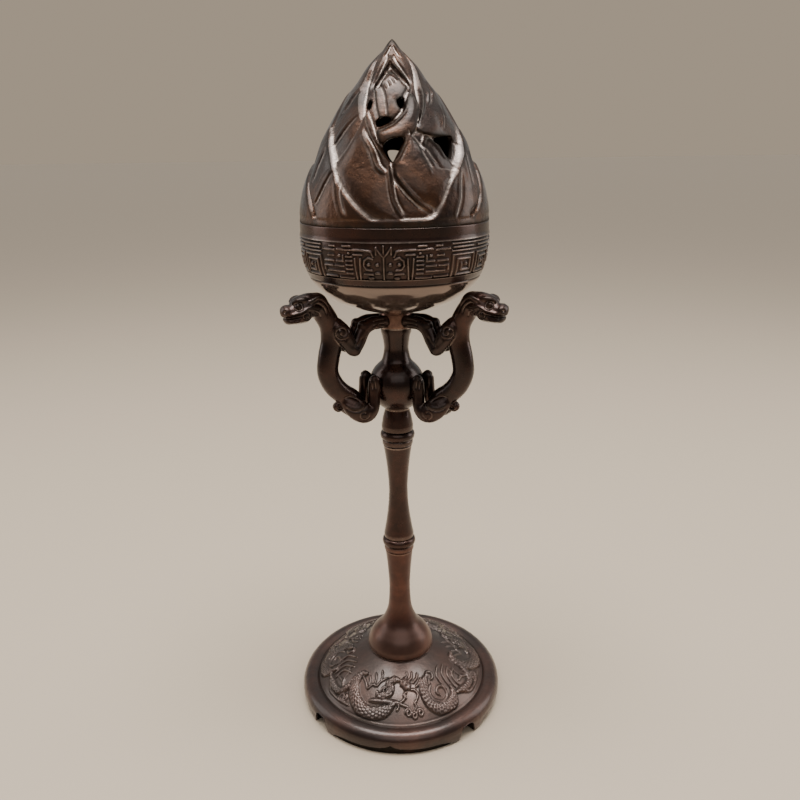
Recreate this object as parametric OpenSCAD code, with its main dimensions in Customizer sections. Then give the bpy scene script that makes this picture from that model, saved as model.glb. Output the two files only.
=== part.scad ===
// Bronze hill censer: a lobed domed base, a bamboo-like stem in sections on a tie rod,
// three dragon brackets round a ball and neck, a bowl with an incense pan, and a pierced hill lid.
// The origin is on the floor at the centre of the base, +Z is up and the front faces -Y.

/* [Base] */
// Diameter over the rolled rim
base_d = 88.8; // [84:0.2:96]
// Height of the flat seat on top of the dome
seat_z = 22; // [20:0.5:26]
// Diameter of the flat seat that carries the stem
seat_d = 29.4; // [26:0.2:34]
// Radius of the rolled rim's section
roll_r = 4.4; // [3.8:0.1:4.8]
// Height of the rolled rim's centre
roll_z = 4.5; // [4.2:0.1:5]
// Rise of the dome above a straight cone
dome_bulge = 1.6; // [0.5:0.1:2.5]
// Wall of the dome
base_wall = 3; // [2:0.1:4]
// Thickness of the hub that the tie rod clamps
hub_t = 6; // [4:0.5:8]
// Radial thickness of the foot ring
foot_ring_t = 3.2; // [2:0.1:4]
// Number of lobed feet
foot_count = 4; // [3:1:6]
// Width of the notch between two feet
notch_w = 8.6; // [5:0.2:12]
// Height of the notch between two feet
notch_h = 4.2; // [2:0.1:5]
// Width of the cusp between a foot's two lobes
cusp_w = 7; // [4:0.2:10]
// Height of the cusp between a foot's two lobes
cusp_h = 1.7; // [0.8:0.1:3]
// Angle of the first notch from the front
notch_turn = -49.5; // [-60:0.5:-30]

/* [Stem] */
// Height of the lower section
lower_h = 50.6; // [44:0.2:58]
// Diameter of the bell foot
bell_d = 29; // [24:0.2:32]
// Height of the bell foot
bell_h = 28; // [22:0.5:32]
// Waist diameter of the lower section
lower_waist_d = 9; // [7.5:0.1:10.5]
// Diameter of the sections at their ends
end_d = 12.6; // [11:0.1:14]
// Height of the middle section
middle_h = 44.8; // [38:0.2:52]
// Waist diameter of the middle section
middle_waist_d = 7.9; // [7:0.1:9.5]
// Straight length at each end of a section
end_h = 2.2; // [1:0.1:3]
// Diameter of the bead rings
ring_d = 14.1; // [13:0.1:16]
// Height of the bead rings
ring_h = 3.8; // [3:0.1:5]
// Diameter of the bead rings' flat faces
ring_face_d = 10.6; // [9:0.1:11]
// Height of the cap under the ball
cap_h = 9.4; // [7:0.2:12]
// Top diameter of the cap
cap_top_d = 10; // [8:0.1:12]

/* [Neck] */
// Diameter of the ball
ball_d = 22.2; // [20:0.2:25]
// Height from the ball's foot to its centre
ball_lift = 10.3; // [9.5:0.1:11]
// Height of the neck and ball piece
neck_h = 33.7; // [31:0.1:38]
// Least diameter of the neck
neck_d = 9.7; // [8.5:0.1:11]
// Diameter of the neck's top
neck_top_d = 12.2; // [11:0.1:13]
// Diameter of the collar
collar_d = 13; // [12.4:0.1:15]
// Height of the collar
collar_h = 6; // [5.4:0.1:8]

/* [Bowl] */
// Diameter over the rim
bowl_d = 70.4; // [66:0.2:76]
// Height of the bowl
bowl_h = 34.6; // [32:0.2:40]
// Diameter of the bowl's foot on the collar
bowl_foot_d = 14; // [13:0.2:18]
// Thickness of the bowl's floor at its centre
bowl_floor = 4.5; // [3:0.1:6]
// Thickness of the rim
bowl_wall = 3; // [2.2:0.1:3.6]
// Height of the pan's ledge above the bowl's foot
ledge_z = 20; // [18:0.2:22]
// Width of the pan's ledge
ledge_w = 3.2; // [2:0.1:4]
// Height of the patterned band's lower edge above the bowl's foot
band_z = 17.2; // [15:0.2:19]
// Height of the patterned band
band_h = 12.6; // [10:0.2:14]
// Depth of the patterned band's ground
band_depth = 0.6; // [0.3:0.1:1]

/* [Incense pan] */
// Depth of the pan below its flange
pan_depth = 6.4; // [4:0.2:8]
// Thickness of the pan's metal
pan_t = 1.2; // [0.8:0.1:1.6]
// Gap between the pan's flange and the bowl
pan_gap = 0.4; // [0.3:0.05:1]

/* [Lid] */
// Height of the lid from its seat to its top
lid_h = 61.4; // [54:0.2:70]
// Height of the plain strip above the seat
strip_h = 2.6; // [1.5:0.1:4]
// Depth of the spigot inside the bowl
spigot_h = 3.5; // [2.5:0.1:5]
// Thickness of the spigot
spigot_t = 1.8; // [1.2:0.1:2.4]
// Gap between the spigot and the bowl
spigot_gap = 0.4; // [0.3:0.05:0.8]
// Gap between the lid's seat and the rim
lid_seat_gap = 0.05; // [0.02:0.01:0.2]
// Depth of the valleys below the outline of the hills
valley_depth = 2.6; // [1:0.1:2.8]
// Least wall of the lid, at the valleys
lid_wall = 2; // [1.6:0.1:2.6]
// Width over which the edge of a hill falls to the valley
edge_w = 2.6; // [0.8:0.1:4]
// Turn of the hills round the axis
hill_turn = 0; // [-10:0.5:10]

/* [Dragons] */
// Distance of the snout from the axis
snout_reach = 46.9; // [45:0.1:50]
// Length of one unit of a dragon's outline
dragon_unit = 1; // [0.94:0.02:1.06]
// Half-width of the body
body_w = 3.8; // [3:0.1:4.5]
// Distance between a pair of forepaws
forepaw_gap = 5.2; // [4.8:0.1:6]
// Distance between a pair of hind paws
hindpaw_gap = 8; // [7:0.1:9]
// Gap between a paw and what it holds
paw_gap = 0.15; // [0.1:0.05:0.4]
// Number of sides of a swept limb
limb_sides = 10; // [8:1:14]
// Number of sides of the swept body and head
body_sides = 12; // [8:1:16]

/* [Fasteners] */
// Diameter of the tie rod
rod_d = 4; // [3:0.1:4.4]
// Clearance round the tie rod
rod_gap = 0.2; // [0.1:0.05:0.4]
// Diameter of the washers
washer_d = 9; // [8:0.2:12]
// Thickness of the washers
washer_t = 0.8; // [0.5:0.1:1.5]
// Width of the nuts across their flats
nut_flats = 7; // [6:0.1:8]
// Height of the nuts
nut_h = 3.2; // [2.4:0.1:4]
// Thread left showing past a nut
rod_spare = 1.2; // [0.5:0.1:1.6]
// Diameter of the dowels in the paws
pin_d = 1.8; // [1.4:0.1:2.2]
// Length of the dowels
pin_l = 6; // [5:0.2:7]
// Clearance round a dowel
pin_gap = 0.05; // [0.02:0.01:0.1]

/* [Hidden] */
$fn = 96;
bronze = "#4b3329";
red_bronze = "#6a4130";
steel = "#8b8b86";
brass = "#a98b4e";

// Heights of the stack, each piece standing on the one below
lower_z = seat_z;
ring_lower_z = lower_z + lower_h;
middle_z = ring_lower_z + ring_h;
ring_upper_z = middle_z + middle_h;
cap_z = ring_upper_z + ring_h;
neck_z = cap_z + cap_h;
ball_z = neck_z + ball_lift;
collar_z = neck_z + neck_h;
bowl_z = collar_z + collar_h;
rim_z = bowl_z + bowl_h;
lid_z = rim_z + lid_seat_gap;

// Radii that more than one piece shares
bore_r = rod_d / 2 + rod_gap;
base_r = base_d / 2;
roll_c = base_r - roll_r;
groove_angle = 128;
groove_r = roll_c + roll_r * cos(groove_angle);
groove_z = roll_z + roll_r * sin(groove_angle);
end_r = end_d / 2;
ball_r = ball_d / 2;
collar_r = collar_d / 2;
bowl_r = bowl_d / 2;
mouth_r = bowl_r - bowl_wall;
spigot_r = mouth_r - spigot_gap;
hub_under = seat_z - hub_t;
floor_z = bowl_z + bowl_floor;
pan_z = bowl_z + ledge_z;
dragon_angles = [-60, 60, 180];
hill_columns = 120;
hill_rows = 34;

// A smooth curve through the knots, with a few steps between each pair
function knot(k, i) = k[max(0, min(len(k) - 1, i))];
function spline(a, b, c, d, t) =
  0.5 * (2 * b + (c - a) * t + (2 * a - 5 * b + 4 * c - d) * t * t + (3 * b - a - 3 * c + d) * t * t * t);
function smooth(k, steps = 6) = concat(
  [for (i = [0 : len(k) - 2]) for (s = [0 : steps - 1])
    spline(knot(k, i - 1), knot(k, i), knot(k, i + 1), knot(k, i + 2), s / steps)],
  [k[len(k) - 1]]);
function arc(cr, cz, r, from, to, steps = 16) =
  [for (s = [0 : steps]) let (a = from + (to - from) * s / steps) [cr + r * cos(a), cz + r * sin(a)]];

// A turned piece, from its outline at height z and a bore on the axis
module turned(outline, z, bore) {
  bottom = outline[0][1];
  top = outline[len(outline) - 1][1];
  translate([0, 0, z])
    rotate_extrude()
      polygon(concat([[bore, bottom]], outline, [[bore, top]]));
}

// Moves a shape to an angle round the axis, where 0 is the front and positive is to the right
module at_angle(a) {
  rotate([0, 0, a - 90]) children();
}

// Base

function dome(t, drop) =
  let (r0 = seat_d / 2, z0 = seat_z)
  [r0 + (groove_r - r0) * t, z0 + (groove_z - z0) * t + 4 * dome_bulge * t * (1 - t) - drop];

module base_outline() {
  outer = [for (s = [0 : 12]) dome(s / 12, 0)];
  inner = [for (s = [11 : -1 : 0]) dome(s / 12, base_wall)];
  foot_angle = -50;
  foot_r = roll_c + roll_r * 0.55;
  polygon(concat(
    [[bore_r, seat_z]],
    outer,
    arc(roll_c, roll_z, roll_r, groove_angle, foot_angle, 20),
    [[foot_r, 0], [foot_r - foot_ring_t, 0], [foot_r - foot_ring_t, roll_z - roll_r / 2]],
    [for (p = inner) if (p[1] < hub_under || p[0] > seat_d / 2) p],
    [[seat_d / 2 - base_wall, hub_under], [bore_r, hub_under]]));
}

// The outline of a cut in the foot ring: a half-width, a height and a narrowed crown
module foot_cut(w, h, crown) {
  side = smooth([[w / 2, -1], [w / 2, 0], [w / 2 * crown, h * 0.45], [w / 2 * crown * 0.8, h * 0.8], [0, h]]);
  other = [for (i = [len(side) - 2 : -1 : 0]) [-side[i][0], side[i][1]]];
  rotate([90, 0, 90])
    linear_extrude(base_d)
      polygon(concat(side, other));
}

module base() {
  color(bronze)
    difference() {
      rotate_extrude() base_outline();
      for (i = [0 : foot_count - 1]) {
        at_angle(notch_turn + i * 360 / foot_count)
          foot_cut(notch_w, notch_h, 0.62);
        at_angle(notch_turn + (i + 0.5) * 360 / foot_count)
          foot_cut(cusp_w, cusp_h, 0.3);
      }
    }
}

// Stem

function waisted(waist_r, h, steps = 24) =
  [for (s = [0 : steps]) let (t = s / steps)
    [waist_r + (end_r - waist_r) * pow(abs(2 * t - 1), 1.75), end_h + (h - 2 * end_h) * t]];

module stem_lower() {
  waist = lower_waist_d / 2;
  reach = bell_d / 2 - waist;
  bell = [[0.97, 0], [1, 0.05], [0.955, 0.13], [0.8, 0.25], [0.6, 0.34], [0.375, 0.43], [0.24, 0.52],
          [0.13, 0.62], [0.06, 0.72], [0.02, 0.86], [0, 1]];
  lift = lower_h - end_h - bell_h;
  flare = [for (s = [1 : 10]) let (t = s / 10) [waist + (end_r - waist) * pow(t, 1.8), bell_h + lift * t]];
  foot = smooth([for (p = bell) [waist + reach * p[0], bell_h * p[1]]], 4);
  color(bronze) turned(concat(foot, flare, [[end_r, lower_h]]), lower_z, bore_r);
}

module stem_middle() {
  outline = concat([[end_r, 0]], waisted(middle_waist_d / 2, middle_h), [[end_r, middle_h]]);
  color(bronze) turned(outline, middle_z, bore_r);
}

module bead_ring(z) {
  bulge = (ring_d - ring_face_d) / 2;
  color(bronze)
    turned([for (s = [0 : 16]) let (a = s / 16 * 180)
      [ring_face_d / 2 + bulge * sin(a), ring_h / 2 * (1 - cos(a))]], z, bore_r);
}

module stem_cap() {
  foot = end_r + 0.15;
  color(bronze)
    turned(concat([[foot, 0]], smooth([[foot, end_h], [(foot + cap_top_d / 2) / 2, cap_h * 0.62],
      [cap_top_d / 2, cap_h]])), cap_z, bore_r);
}

// Neck, collar and the dowels that hold the paws

// Dowel places: the height of the forepaws' dowels and of the hind paws' dowels
forepin_z = collar_z + collar_h / 2;
hindpin_z = ball_z + 1.5;
forepin_u = sqrt(pow(collar_r, 2) - pow(forepaw_gap / 2, 2)) - pin_l / 2;
hindpin_u = sqrt(pow(ball_r, 2) - pow(hindpaw_gap / 2, 2)) - pin_l / 2;

module pin_set(u, z, gap, d, l) {
  for (a = dragon_angles)
    at_angle(a)
      for (side = [-1, 1])
        translate([u, side * gap / 2, z])
          rotate([0, 90, 0]) cylinder(d = d, h = l, $fn = 32);
}

module collar_holes() {
  pin_set(forepin_u - pin_gap, forepin_z, forepaw_gap, pin_d + 2 * pin_gap, pin_l + 2 * pin_gap);
}

module ball_holes() {
  pin_set(hindpin_u - pin_gap, hindpin_z, hindpaw_gap, pin_d + 2 * pin_gap, pin_l + 2 * pin_gap);
}

module neck_ball() {
  foot = cap_top_d / 2;
  low = -acos((foot + 0.9) / ball_r);
  high = acos((neck_d / 2 + 2.6) / ball_r);
  shoulder = ball_lift + ball_r * sin(high);
  span = neck_h - shoulder;
  throat = smooth([[ball_r * cos(high), shoulder], [neck_d / 2 + 1, shoulder + span * 0.12],
    [neck_d / 2 + 0.2, shoulder + span * 0.32], [neck_d / 2, shoulder + span * 0.48],
    [neck_d / 2 + 0.5, shoulder + span * 0.72], [neck_top_d / 2, shoulder + span * 0.88],
    [neck_top_d / 2, neck_h]]);
  ball = arc(0, ball_lift, ball_r, low, high, 24);
  color(bronze)
    difference() {
      turned(concat([[foot, 0]], ball, [for (i = [1 : len(throat) - 1]) throat[i]]), neck_z, bore_r);
      ball_holes();
    }
}

module collar() {
  soft = 0.5;
  side = [[collar_r - soft, 0], [collar_r, soft], [collar_r, collar_h - soft], [collar_r - soft, collar_h]];
  color(red_bronze)
    difference() {
      turned(side, collar_z, bore_r);
      collar_holes();
    }
}

module collar_pins() {
  color(steel) pin_set(forepin_u, forepin_z, forepaw_gap, pin_d, pin_l);
}

module ball_pins() {
  color(steel) pin_set(hindpin_u, hindpin_z, hindpaw_gap, pin_d, pin_l);
}

// Dragons
// A station of a swept form: distance from the axis, sideways place, height above the ball's centre,
// half-thickness in the dragon's plane and half-width across it

function unit(v) = v / norm(v);
function centre(s) = [s[0], s[1], s[2]];
function ring_points(stations, i, sides) =
  let (a = centre(knot(stations, i - 1)), b = centre(knot(stations, i + 1)), c = stations[i],
       along = unit(b - a), up = unit(cross([0, 1, 0], along)), across = cross(along, up))
  [for (j = [0 : sides - 1]) let (q = j * 360 / sides)
    centre(c) + up * c[3] * cos(q) + across * c[4] * sin(q)];

module swept(stations, sides) {
  last = len(stations) - 1;
  points = concat([for (i = [0 : last]) each ring_points(stations, i, sides)],
    [centre(stations[0]), centre(stations[last])]);
  tail = len(points) - 2;
  faces = concat(
    [for (i = [0 : last - 1]) for (j = [0 : sides - 1])
      let (a = i * sides + j, b = i * sides + (j + 1) % sides)
      each [[a, a + sides, b], [b, a + sides, b + sides]]],
    [for (j = [0 : sides - 1]) [tail, j, (j + 1) % sides]],
    [for (j = [0 : sides - 1]) [tail + 1, last * sides + (j + 1) % sides, last * sides + j]]);
  polyhedron(points, faces);
}

// Main lines of a dragon in units of its outline, with the head measured back from the snout
du = dragon_unit;
body_line = [
  [16.5, 0, -7.4, 3.2], [20.2, 0, -3.2, 4], [24.2, 0, -0.1, 4], [27.6, 0, 3.8, 4.1], [29.6, 0, 9, 4.1],
  [28.9, 0, 15, 4.2], [27.4, 0, 21, 4.3], [28, 0, 27, 4], [30.5, 0, 32, 4], [32.5, 0, 35.4, 3.6]];
head_line = [
  [17, 0, 36, 2.6, 2.4], [14.6, 0, 35.6, 4.6, 4], [11, 0, 34.9, 5.2, 4.5], [7.6, 0, 34.3, 4.7, 4.3],
  [5, 0, 33.5, 3.9, 3.5], [2.4, 0, 33.2, 3.4, 3], [0.6, 0, 33.4, 2.6, 2.4], [0, 0, 33.5, 1.6, 1.5]];
tail_curl = [26, 0, -4.6];
curl_r = 2.2;
body_stations = [for (s = body_line) concat(du * s, [body_w])];
head_stations = [for (s = head_line) [snout_reach - du * s[0], 0, du * s[2], du * s[3], du * s[4]]];
function foreleg(side) =
  let (paw = side * forepaw_gap / 2, z = forepin_z - ball_z)
  concat(
    du * [[26, side * 2.6, 27.6, 2.4, 1.8], [24.4, side * 4.3, 25.2, 3.6, 2.5],
      [22, side * 5.2, 20, 2.9, 2.2], [19.4, side * 5.4, 16.4, 2.4, 2.1],
      [17.2, side * 5, 19.6, 2.4, 2], [15, side * 4.4, 24.6, 2.5, 2]],
    [[12.2 * du, side * 3.6 * du, z - 0.4 * du, 2.4 * du, 2 * du], [9 * du, paw, z, 2.3 * du, 1.9 * du],
      [collar_r - du, paw, z, 2.2 * du, 1.9 * du]]);
function hindleg(side) =
  let (paw = side * hindpaw_gap / 2, hold = ball_r + 2.1 * du)
  concat(
    du * [[22.6, side * 2.2, -3.6, 3.2, 2.4], [19.4, side * 3.8, -6.6, 4.4, 2.8],
      [16.2, side * 4.6, -8.8, 3.9, 2.8], [13.4, side * 4.8, -7.4, 3, 2.5]],
    [[hold - 0.2 * du, paw + side * 0.4 * du, -3 * du, 2.4 * du, 2.1 * du], [hold, paw, du, 2.3 * du, 2 * du],
      [hold, paw, 4.4 * du, 1.8 * du, 1.8 * du], [hold - 0.6 * du, paw, 5.8 * du, du, 1.2 * du]]);

module dragon(a) {
  color(bronze)
    difference() {
      at_angle(a)
        translate([0, 0, ball_z]) {
          swept(smooth(body_stations, 2), body_sides);
          swept(smooth(head_stations, 2), body_sides);
          for (side = [-1, 1]) {
            swept(smooth(foreleg(side), 2), limb_sides);
            swept(smooth(hindleg(side), 2), limb_sides);
          }
          translate(du * tail_curl) sphere(r = du * curl_r, $fn = 24);
        }
      translate([0, 0, collar_z - collar_h]) cylinder(r = collar_r + paw_gap, h = 3 * collar_h);
      translate([0, 0, ball_z]) sphere(r = ball_r + paw_gap);
      collar_holes();
      ball_holes();
    }
}

// Bowl and incense pan

function bowl_outer() =
  let (r = bowl_r, foot = bowl_foot_d / 2, z = band_z, wide = r + 0.3)
  concat(
    smooth([[foot, 0], [foot + 1.2, 0.5], [foot + 4, 1.2], [foot + 8, 2.3], [r - 15.2, 4], [r - 10.2, 6.5],
      [r - 5.6, 10.4], [r - 3.1, 13.6], [r - 1.6, z]], 4),
    smooth([[r - 1.6 - band_depth, z], [r - 0.4 - band_depth, z + band_h * 0.3],
      [wide - band_depth, z + band_h * 0.8], [wide - band_depth, z + band_h]], 4),
    [[wide, z + band_h], [r, z + band_h + 1.4], [r, bowl_h]]);

module bowl() {
  under = mouth_r - ledge_w;
  hollow = smooth([[under, ledge_z - 3.6], [under - 1, ledge_z - 6.5], [under - 4, ledge_z - 10],
    [under - 9, ledge_z - 12.8], [under - 15, bowl_floor + 0.7], [washer_d, bowl_floor]], 4);
  color(bronze)
    translate([0, 0, bowl_z])
      rotate_extrude()
        polygon(concat([[bore_r, 0]], bowl_outer(), [[mouth_r, bowl_h], [mouth_r, ledge_z], [under, ledge_z]],
          hollow, [[bore_r, bowl_floor]]));
}

module incense_pan() {
  flange = mouth_r - pan_gap;
  side = mouth_r - ledge_w - 2 * pan_gap;
  color(brass)
    translate([0, 0, pan_z])
      rotate_extrude()
        polygon(concat(
          [[0, -pan_depth]],
          smooth([[side - 6, -pan_depth], [side - 2.4, 1.4 - pan_depth], [side - 0.4, -2], [side, 0]], 4),
          [[flange, 0], [flange, pan_t], [side - pan_t, pan_t]],
          smooth([[side - pan_t, 0], [side - pan_t - 0.4, -1.6], [side - 3.2, pan_t + 1 - pan_depth],
            [side - 6.6, pan_t - pan_depth]], 4),
          [[0, pan_t - pan_depth]]));
}

// Lid

// Outline of the hills: share of the lid's height, and share of the rim's radius
hill_outline = [[0, 1], [0.105, 0.98], [0.22, 0.929], [0.33, 0.846], [0.45, 0.754], [0.545, 0.651],
                [0.625, 0.56], [0.707, 0.46], [0.772, 0.36], [0.854, 0.251], [0.919, 0.137],
                [0.977, 0.046], [1, 0]];
function outline_r(t) = bowl_r * lookup(t, hill_outline);
function valley_r(t) = max(0, outline_r(t) - valley_depth * min(1, 3.2 * (1 - t)));

// Hills of the front half, which the back half repeats: rise of the hill's edge out of the valley and
// swell of its middle past that, both in shares of the valley's depth, then rows of height in percent
// of the lid, left angle and right angle
hills = [
  [0.92, 0.1, [[3, -52, -8], [13.5, -57, -20], [24, -67, -30], [33, -72, -36], [42, -74, -43],
    [48, -76, -53], [55, -72, -71]]],
  [0.92, 0.1, [[3, 18, 52], [9, 23, 58], [17, 29, 64], [27, 37, 70], [35, 49, 76], [44, 58, 80],
    [54, 77, 79]]],
  [0.92, 0.08, [[3, 52, 128], [15, 66, 114], [25, 74, 106], [33, 88, 92]]],
  [0.3, 0.5, [[3, -8, 7], [15, -21, 2], [25, -31, 0], [33, -37, 0], [42, -38, -8], [52, -33, -16],
    [61, -26, -25]]],
  [0.4, 0.45, [[11, 22, 25], [15, 15, 28], [21, 9, 33], [27, 4, 36], [33, 0, 31], [41, 8, 20],
    [51, 13, 14]]],
  [0.2, 0.2, [[3, 7, 18], [11, 3, 22], [15, 2, 15], [21, 1, 8], [31, 0, 1]]],
  [0.27, 0.2, [[24, 33, 36], [30, 29, 44], [37, 24, 41], [47, 29, 30]]],
  [0.65, 0.25, [[28, 86, 96], [42, 50, 132], [52, 20, 148], [59, 29, 144], [67, 37, 143], [77, 44, 136],
    [90, 70, 110]]],
  [0.9, 0.1, [[34, 88, 96], [46, 68, 116], [58, 74, 108], [71, 89, 91]]],
  [0.58, 0.1, [[60, -18, 20], [70, -32, 34], [76, -22, 25], [89, -4, -3]]],
  [0.85, 0.08, [[58, -7, 7], [67, -20, 20], [75, -15, 14], [82, -3, -2]]],
  [0.35, 0.15, [[56, -9, 7], [62, -6, 3], [69, -1, 0]]],
  [0.58, 0.27, [[50, -12, 20], [54, 0, 25], [60, 9, 29], [67, 16, 29], [70, 23, 24]]]];

// Smoke holes: angle, then height, half-width and half-height in percent of the lid's height
smoke_holes = [
  [1.5, 42, 6, 6.5], [42, 42.5, 5.2, 6.8], [-8, 54, 4.4, 2.6], [9, 65, 2.4, 3.6], [-25, 63, 1.5, 2.4],
  [181.5, 36, 6.5, 6.5], [222, 42.5, 5.2, 6.8], [172, 54, 4.4, 2.6], [189, 65, 2.4, 3.6],
  [155, 63, 1.5, 2.4]];

function polar(r, a, z) = [r * sin(a), -r * cos(a), z];
function wrapped(a) = a - 360 * round(a / 360);
function edge_at(rows, p, side) = lookup(p, [for (row = rows) [row[0], row[side]]]);
function hill_rise(hill, a, p) =
  let (rows = hill[2], inside = p >= rows[0][0] && p <= rows[len(rows) - 1][0])
  !inside ? 0 :
  let (left = edge_at(rows, p, 1), right = edge_at(rows, p, 2), half = (right - left) / 2,
       s = abs(wrapped(a - (left + right) / 2)) / half)
  s >= 1 ? 0 :
  let (inset = (1 - s) * half * PI / 180 * outline_r(p / 100))
  valley_depth * (hill[0] * min(1, inset / edge_w) + hill[1] * (1 - s * s));
function hill_r(a, p) =
  valley_r(p / 100) + max([for (hill = hills) for (turn = [0, 180]) hill_rise(hill, a + turn, p)]);

// A point of the hills takes the mean of a few places round it, so that slanting edges stay clean
function hill_mean_r(a, p, da, dp) =
  let (k = 0.3, near = [for (s = [-k, k]) for (t = [-k, k]) hill_r(a + s * da, p + t * dp)])
  (hill_r(a, p) + near * [1, 1, 1, 1]) / 5;

// The hills as one solid, on rings from below the plain strip's top to the summit.
// Each patch between two rings is split along the diagonal that bends least, so ridges run unbroken.
module hill_solid() {
  da = 360 / hill_columns;
  dp = 100 / hill_rows;
  low = 100 * (strip_h - 1) / lid_h;
  low_r = bowl_r - 0.9;
  rows = concat([low], [for (p = [100 * strip_h / lid_h + 0.6 : dp : 97]) p]);
  last = len(rows) - 1;
  radii = [for (p = rows) [for (j = [0 : hill_columns - 1])
    p == low ? low_r : hill_mean_r(j * da, p, da, dp)]];
  points = concat(
    [for (i = [0 : last]) for (j = [0 : hill_columns - 1])
      polar(radii[i][j], j * da + hill_turn, lid_h * rows[i] / 100)],
    [[0, 0, lid_h * low / 100], [0, 0, lid_h]]);
  end = len(points) - 2;
  faces = concat(
    [for (i = [0 : last - 1]) for (j = [0 : hill_columns - 1])
      let (k = (j + 1) % hill_columns, a = i * hill_columns + j, b = i * hill_columns + k,
           c = a + hill_columns, d = b + hill_columns)
      each abs(radii[i][j] - radii[i + 1][k]) < abs(radii[i][k] - radii[i + 1][j])
        ? [[a, c, d], [a, d, b]] : [[a, c, b], [b, c, d]]],
    [for (j = [0 : hill_columns - 1]) [end, j, (j + 1) % hill_columns]],
    [for (j = [0 : hill_columns - 1])
      [end + 1, last * hill_columns + (j + 1) % hill_columns, last * hill_columns + j]]);
  polyhedron(points, faces);
}

// A shield with a flat top, upright sides and a pointed foot
function shield(w, h) = smooth([
  [w * 0.8, h], [w, h * 0.8], [w, 0], [w * 0.7, -h * 0.5], [0, -h],
  [-w * 0.7, -h * 0.5], [-w, 0], [-w, h * 0.8], [-w * 0.8, h]], 3);

module smoke_hole(hole) {
  at_angle(hole[0] + hill_turn)
    translate([0, 0, lid_h * hole[1] / 100])
      rotate([90, 0, 90])
        linear_extrude(bowl_d)
          polygon(shield(lid_h * hole[2] / 100, lid_h * hole[3] / 100));
}

module lid() {
  inside = spigot_r - spigot_t;
  shares = [for (p = [0.1 : 0.06 : 0.79]) [max(1, min(inside, valley_r(p) - lid_wall)), lid_h * p]];
  color(bronze)
    translate([0, 0, lid_z])
      difference() {
        union() {
          rotate_extrude()
            polygon([[0, -spigot_h], [spigot_r, -spigot_h], [spigot_r, 0], [bowl_r, 0],
              [bowl_r - 0.3, strip_h], [0, strip_h]]);
          hill_solid();
        }
        rotate_extrude()
          polygon(concat([[0, -spigot_h - 1], [inside, -spigot_h - 1], [inside, strip_h]], shares,
            [[0, lid_h * 0.8]]));
        for (hole = smoke_holes) smoke_hole(hole);
      }
}

// Fasteners

module washer(z) {
  color(steel)
    translate([0, 0, z])
      difference() {
        cylinder(d = washer_d, h = washer_t);
        translate([0, 0, -1]) cylinder(r = bore_r, h = washer_t + 2);
      }
}

module nut(z) {
  color(steel)
    translate([0, 0, z])
      difference() {
        cylinder(d = nut_flats / cos(30), h = nut_h, $fn = 6);
        translate([0, 0, -1]) cylinder(d = rod_d, h = nut_h + 2);
      }
}

module tie_rod() {
  low = hub_under - washer_t - nut_h - rod_spare;
  color(steel)
    translate([0, 0, low])
      cylinder(d = rod_d, h = floor_z + washer_t + nut_h + rod_spare - low);
}

base();
washer(hub_under - washer_t);  // base_washer
nut(hub_under - washer_t - nut_h);  // base_nut
tie_rod();
stem_lower();
bead_ring(ring_lower_z);  // ring_lower
stem_middle();
bead_ring(ring_upper_z);  // ring_upper
stem_cap();
neck_ball();
collar();
dragon(dragon_angles[0]);  // dragon_left
dragon(dragon_angles[1]);  // dragon_right
dragon(dragon_angles[2]);  // dragon_rear
collar_pins();
ball_pins();
bowl();
washer(floor_z);  // bowl_washer
nut(floor_z + washer_t);  // bowl_nut
incense_pan();
lid();
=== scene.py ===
import math

import bmesh
import bpy
import numpy as np
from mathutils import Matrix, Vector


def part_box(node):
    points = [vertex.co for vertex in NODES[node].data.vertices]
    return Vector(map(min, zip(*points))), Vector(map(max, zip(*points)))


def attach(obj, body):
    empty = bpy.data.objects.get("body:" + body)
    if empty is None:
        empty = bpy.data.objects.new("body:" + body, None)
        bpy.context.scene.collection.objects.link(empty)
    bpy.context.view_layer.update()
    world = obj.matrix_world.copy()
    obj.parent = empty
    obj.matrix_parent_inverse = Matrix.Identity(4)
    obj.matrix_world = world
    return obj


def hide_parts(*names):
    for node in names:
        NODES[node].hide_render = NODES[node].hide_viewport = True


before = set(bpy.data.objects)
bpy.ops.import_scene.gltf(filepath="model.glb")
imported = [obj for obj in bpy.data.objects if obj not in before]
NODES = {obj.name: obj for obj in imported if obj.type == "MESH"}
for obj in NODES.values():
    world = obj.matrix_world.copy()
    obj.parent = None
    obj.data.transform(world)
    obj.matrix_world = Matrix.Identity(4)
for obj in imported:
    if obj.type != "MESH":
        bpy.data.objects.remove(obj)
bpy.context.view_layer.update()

import openvdb
from mathutils import Matrix, Vector

# Lengths are in millimetres up to the point where a mesh is made, and angles round the axis are in
# degrees, with 0 at the front and positive to the right.
MM = 0.001


# Sizes taken from the frame

def span(node):
    """Bottom, top and largest radius of a node."""
    low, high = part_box(node)
    return low.z / MM, high.z / MM, max(high.x, -low.x) / MM


BASE_TOP, BASE_R = span("base")[1:]
BELL_R = span("stem_lower")[2]
END_R = span("stem_middle")[2]
BALL_FOOT, NECK_TOP, BALL_R = span("neck_ball")
BOWL_Z, COLLAR_R = span("collar")[1:]
RIM_Z = span("bowl")[1]
LID_TOP, RIM_R = span("lid")[1:]

# Other sizes that several pieces share, and a distance beyond any that counts in a map or a field
BALL_RISE = 10.3
BALL_Z = BALL_FOOT + BALL_RISE
BORE_R = 2.2
FAR = 9.0


# Curves and meshes

def unit(values):
    """Values held between 0 and 1."""
    return np.clip(values, 0, 1)


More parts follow.
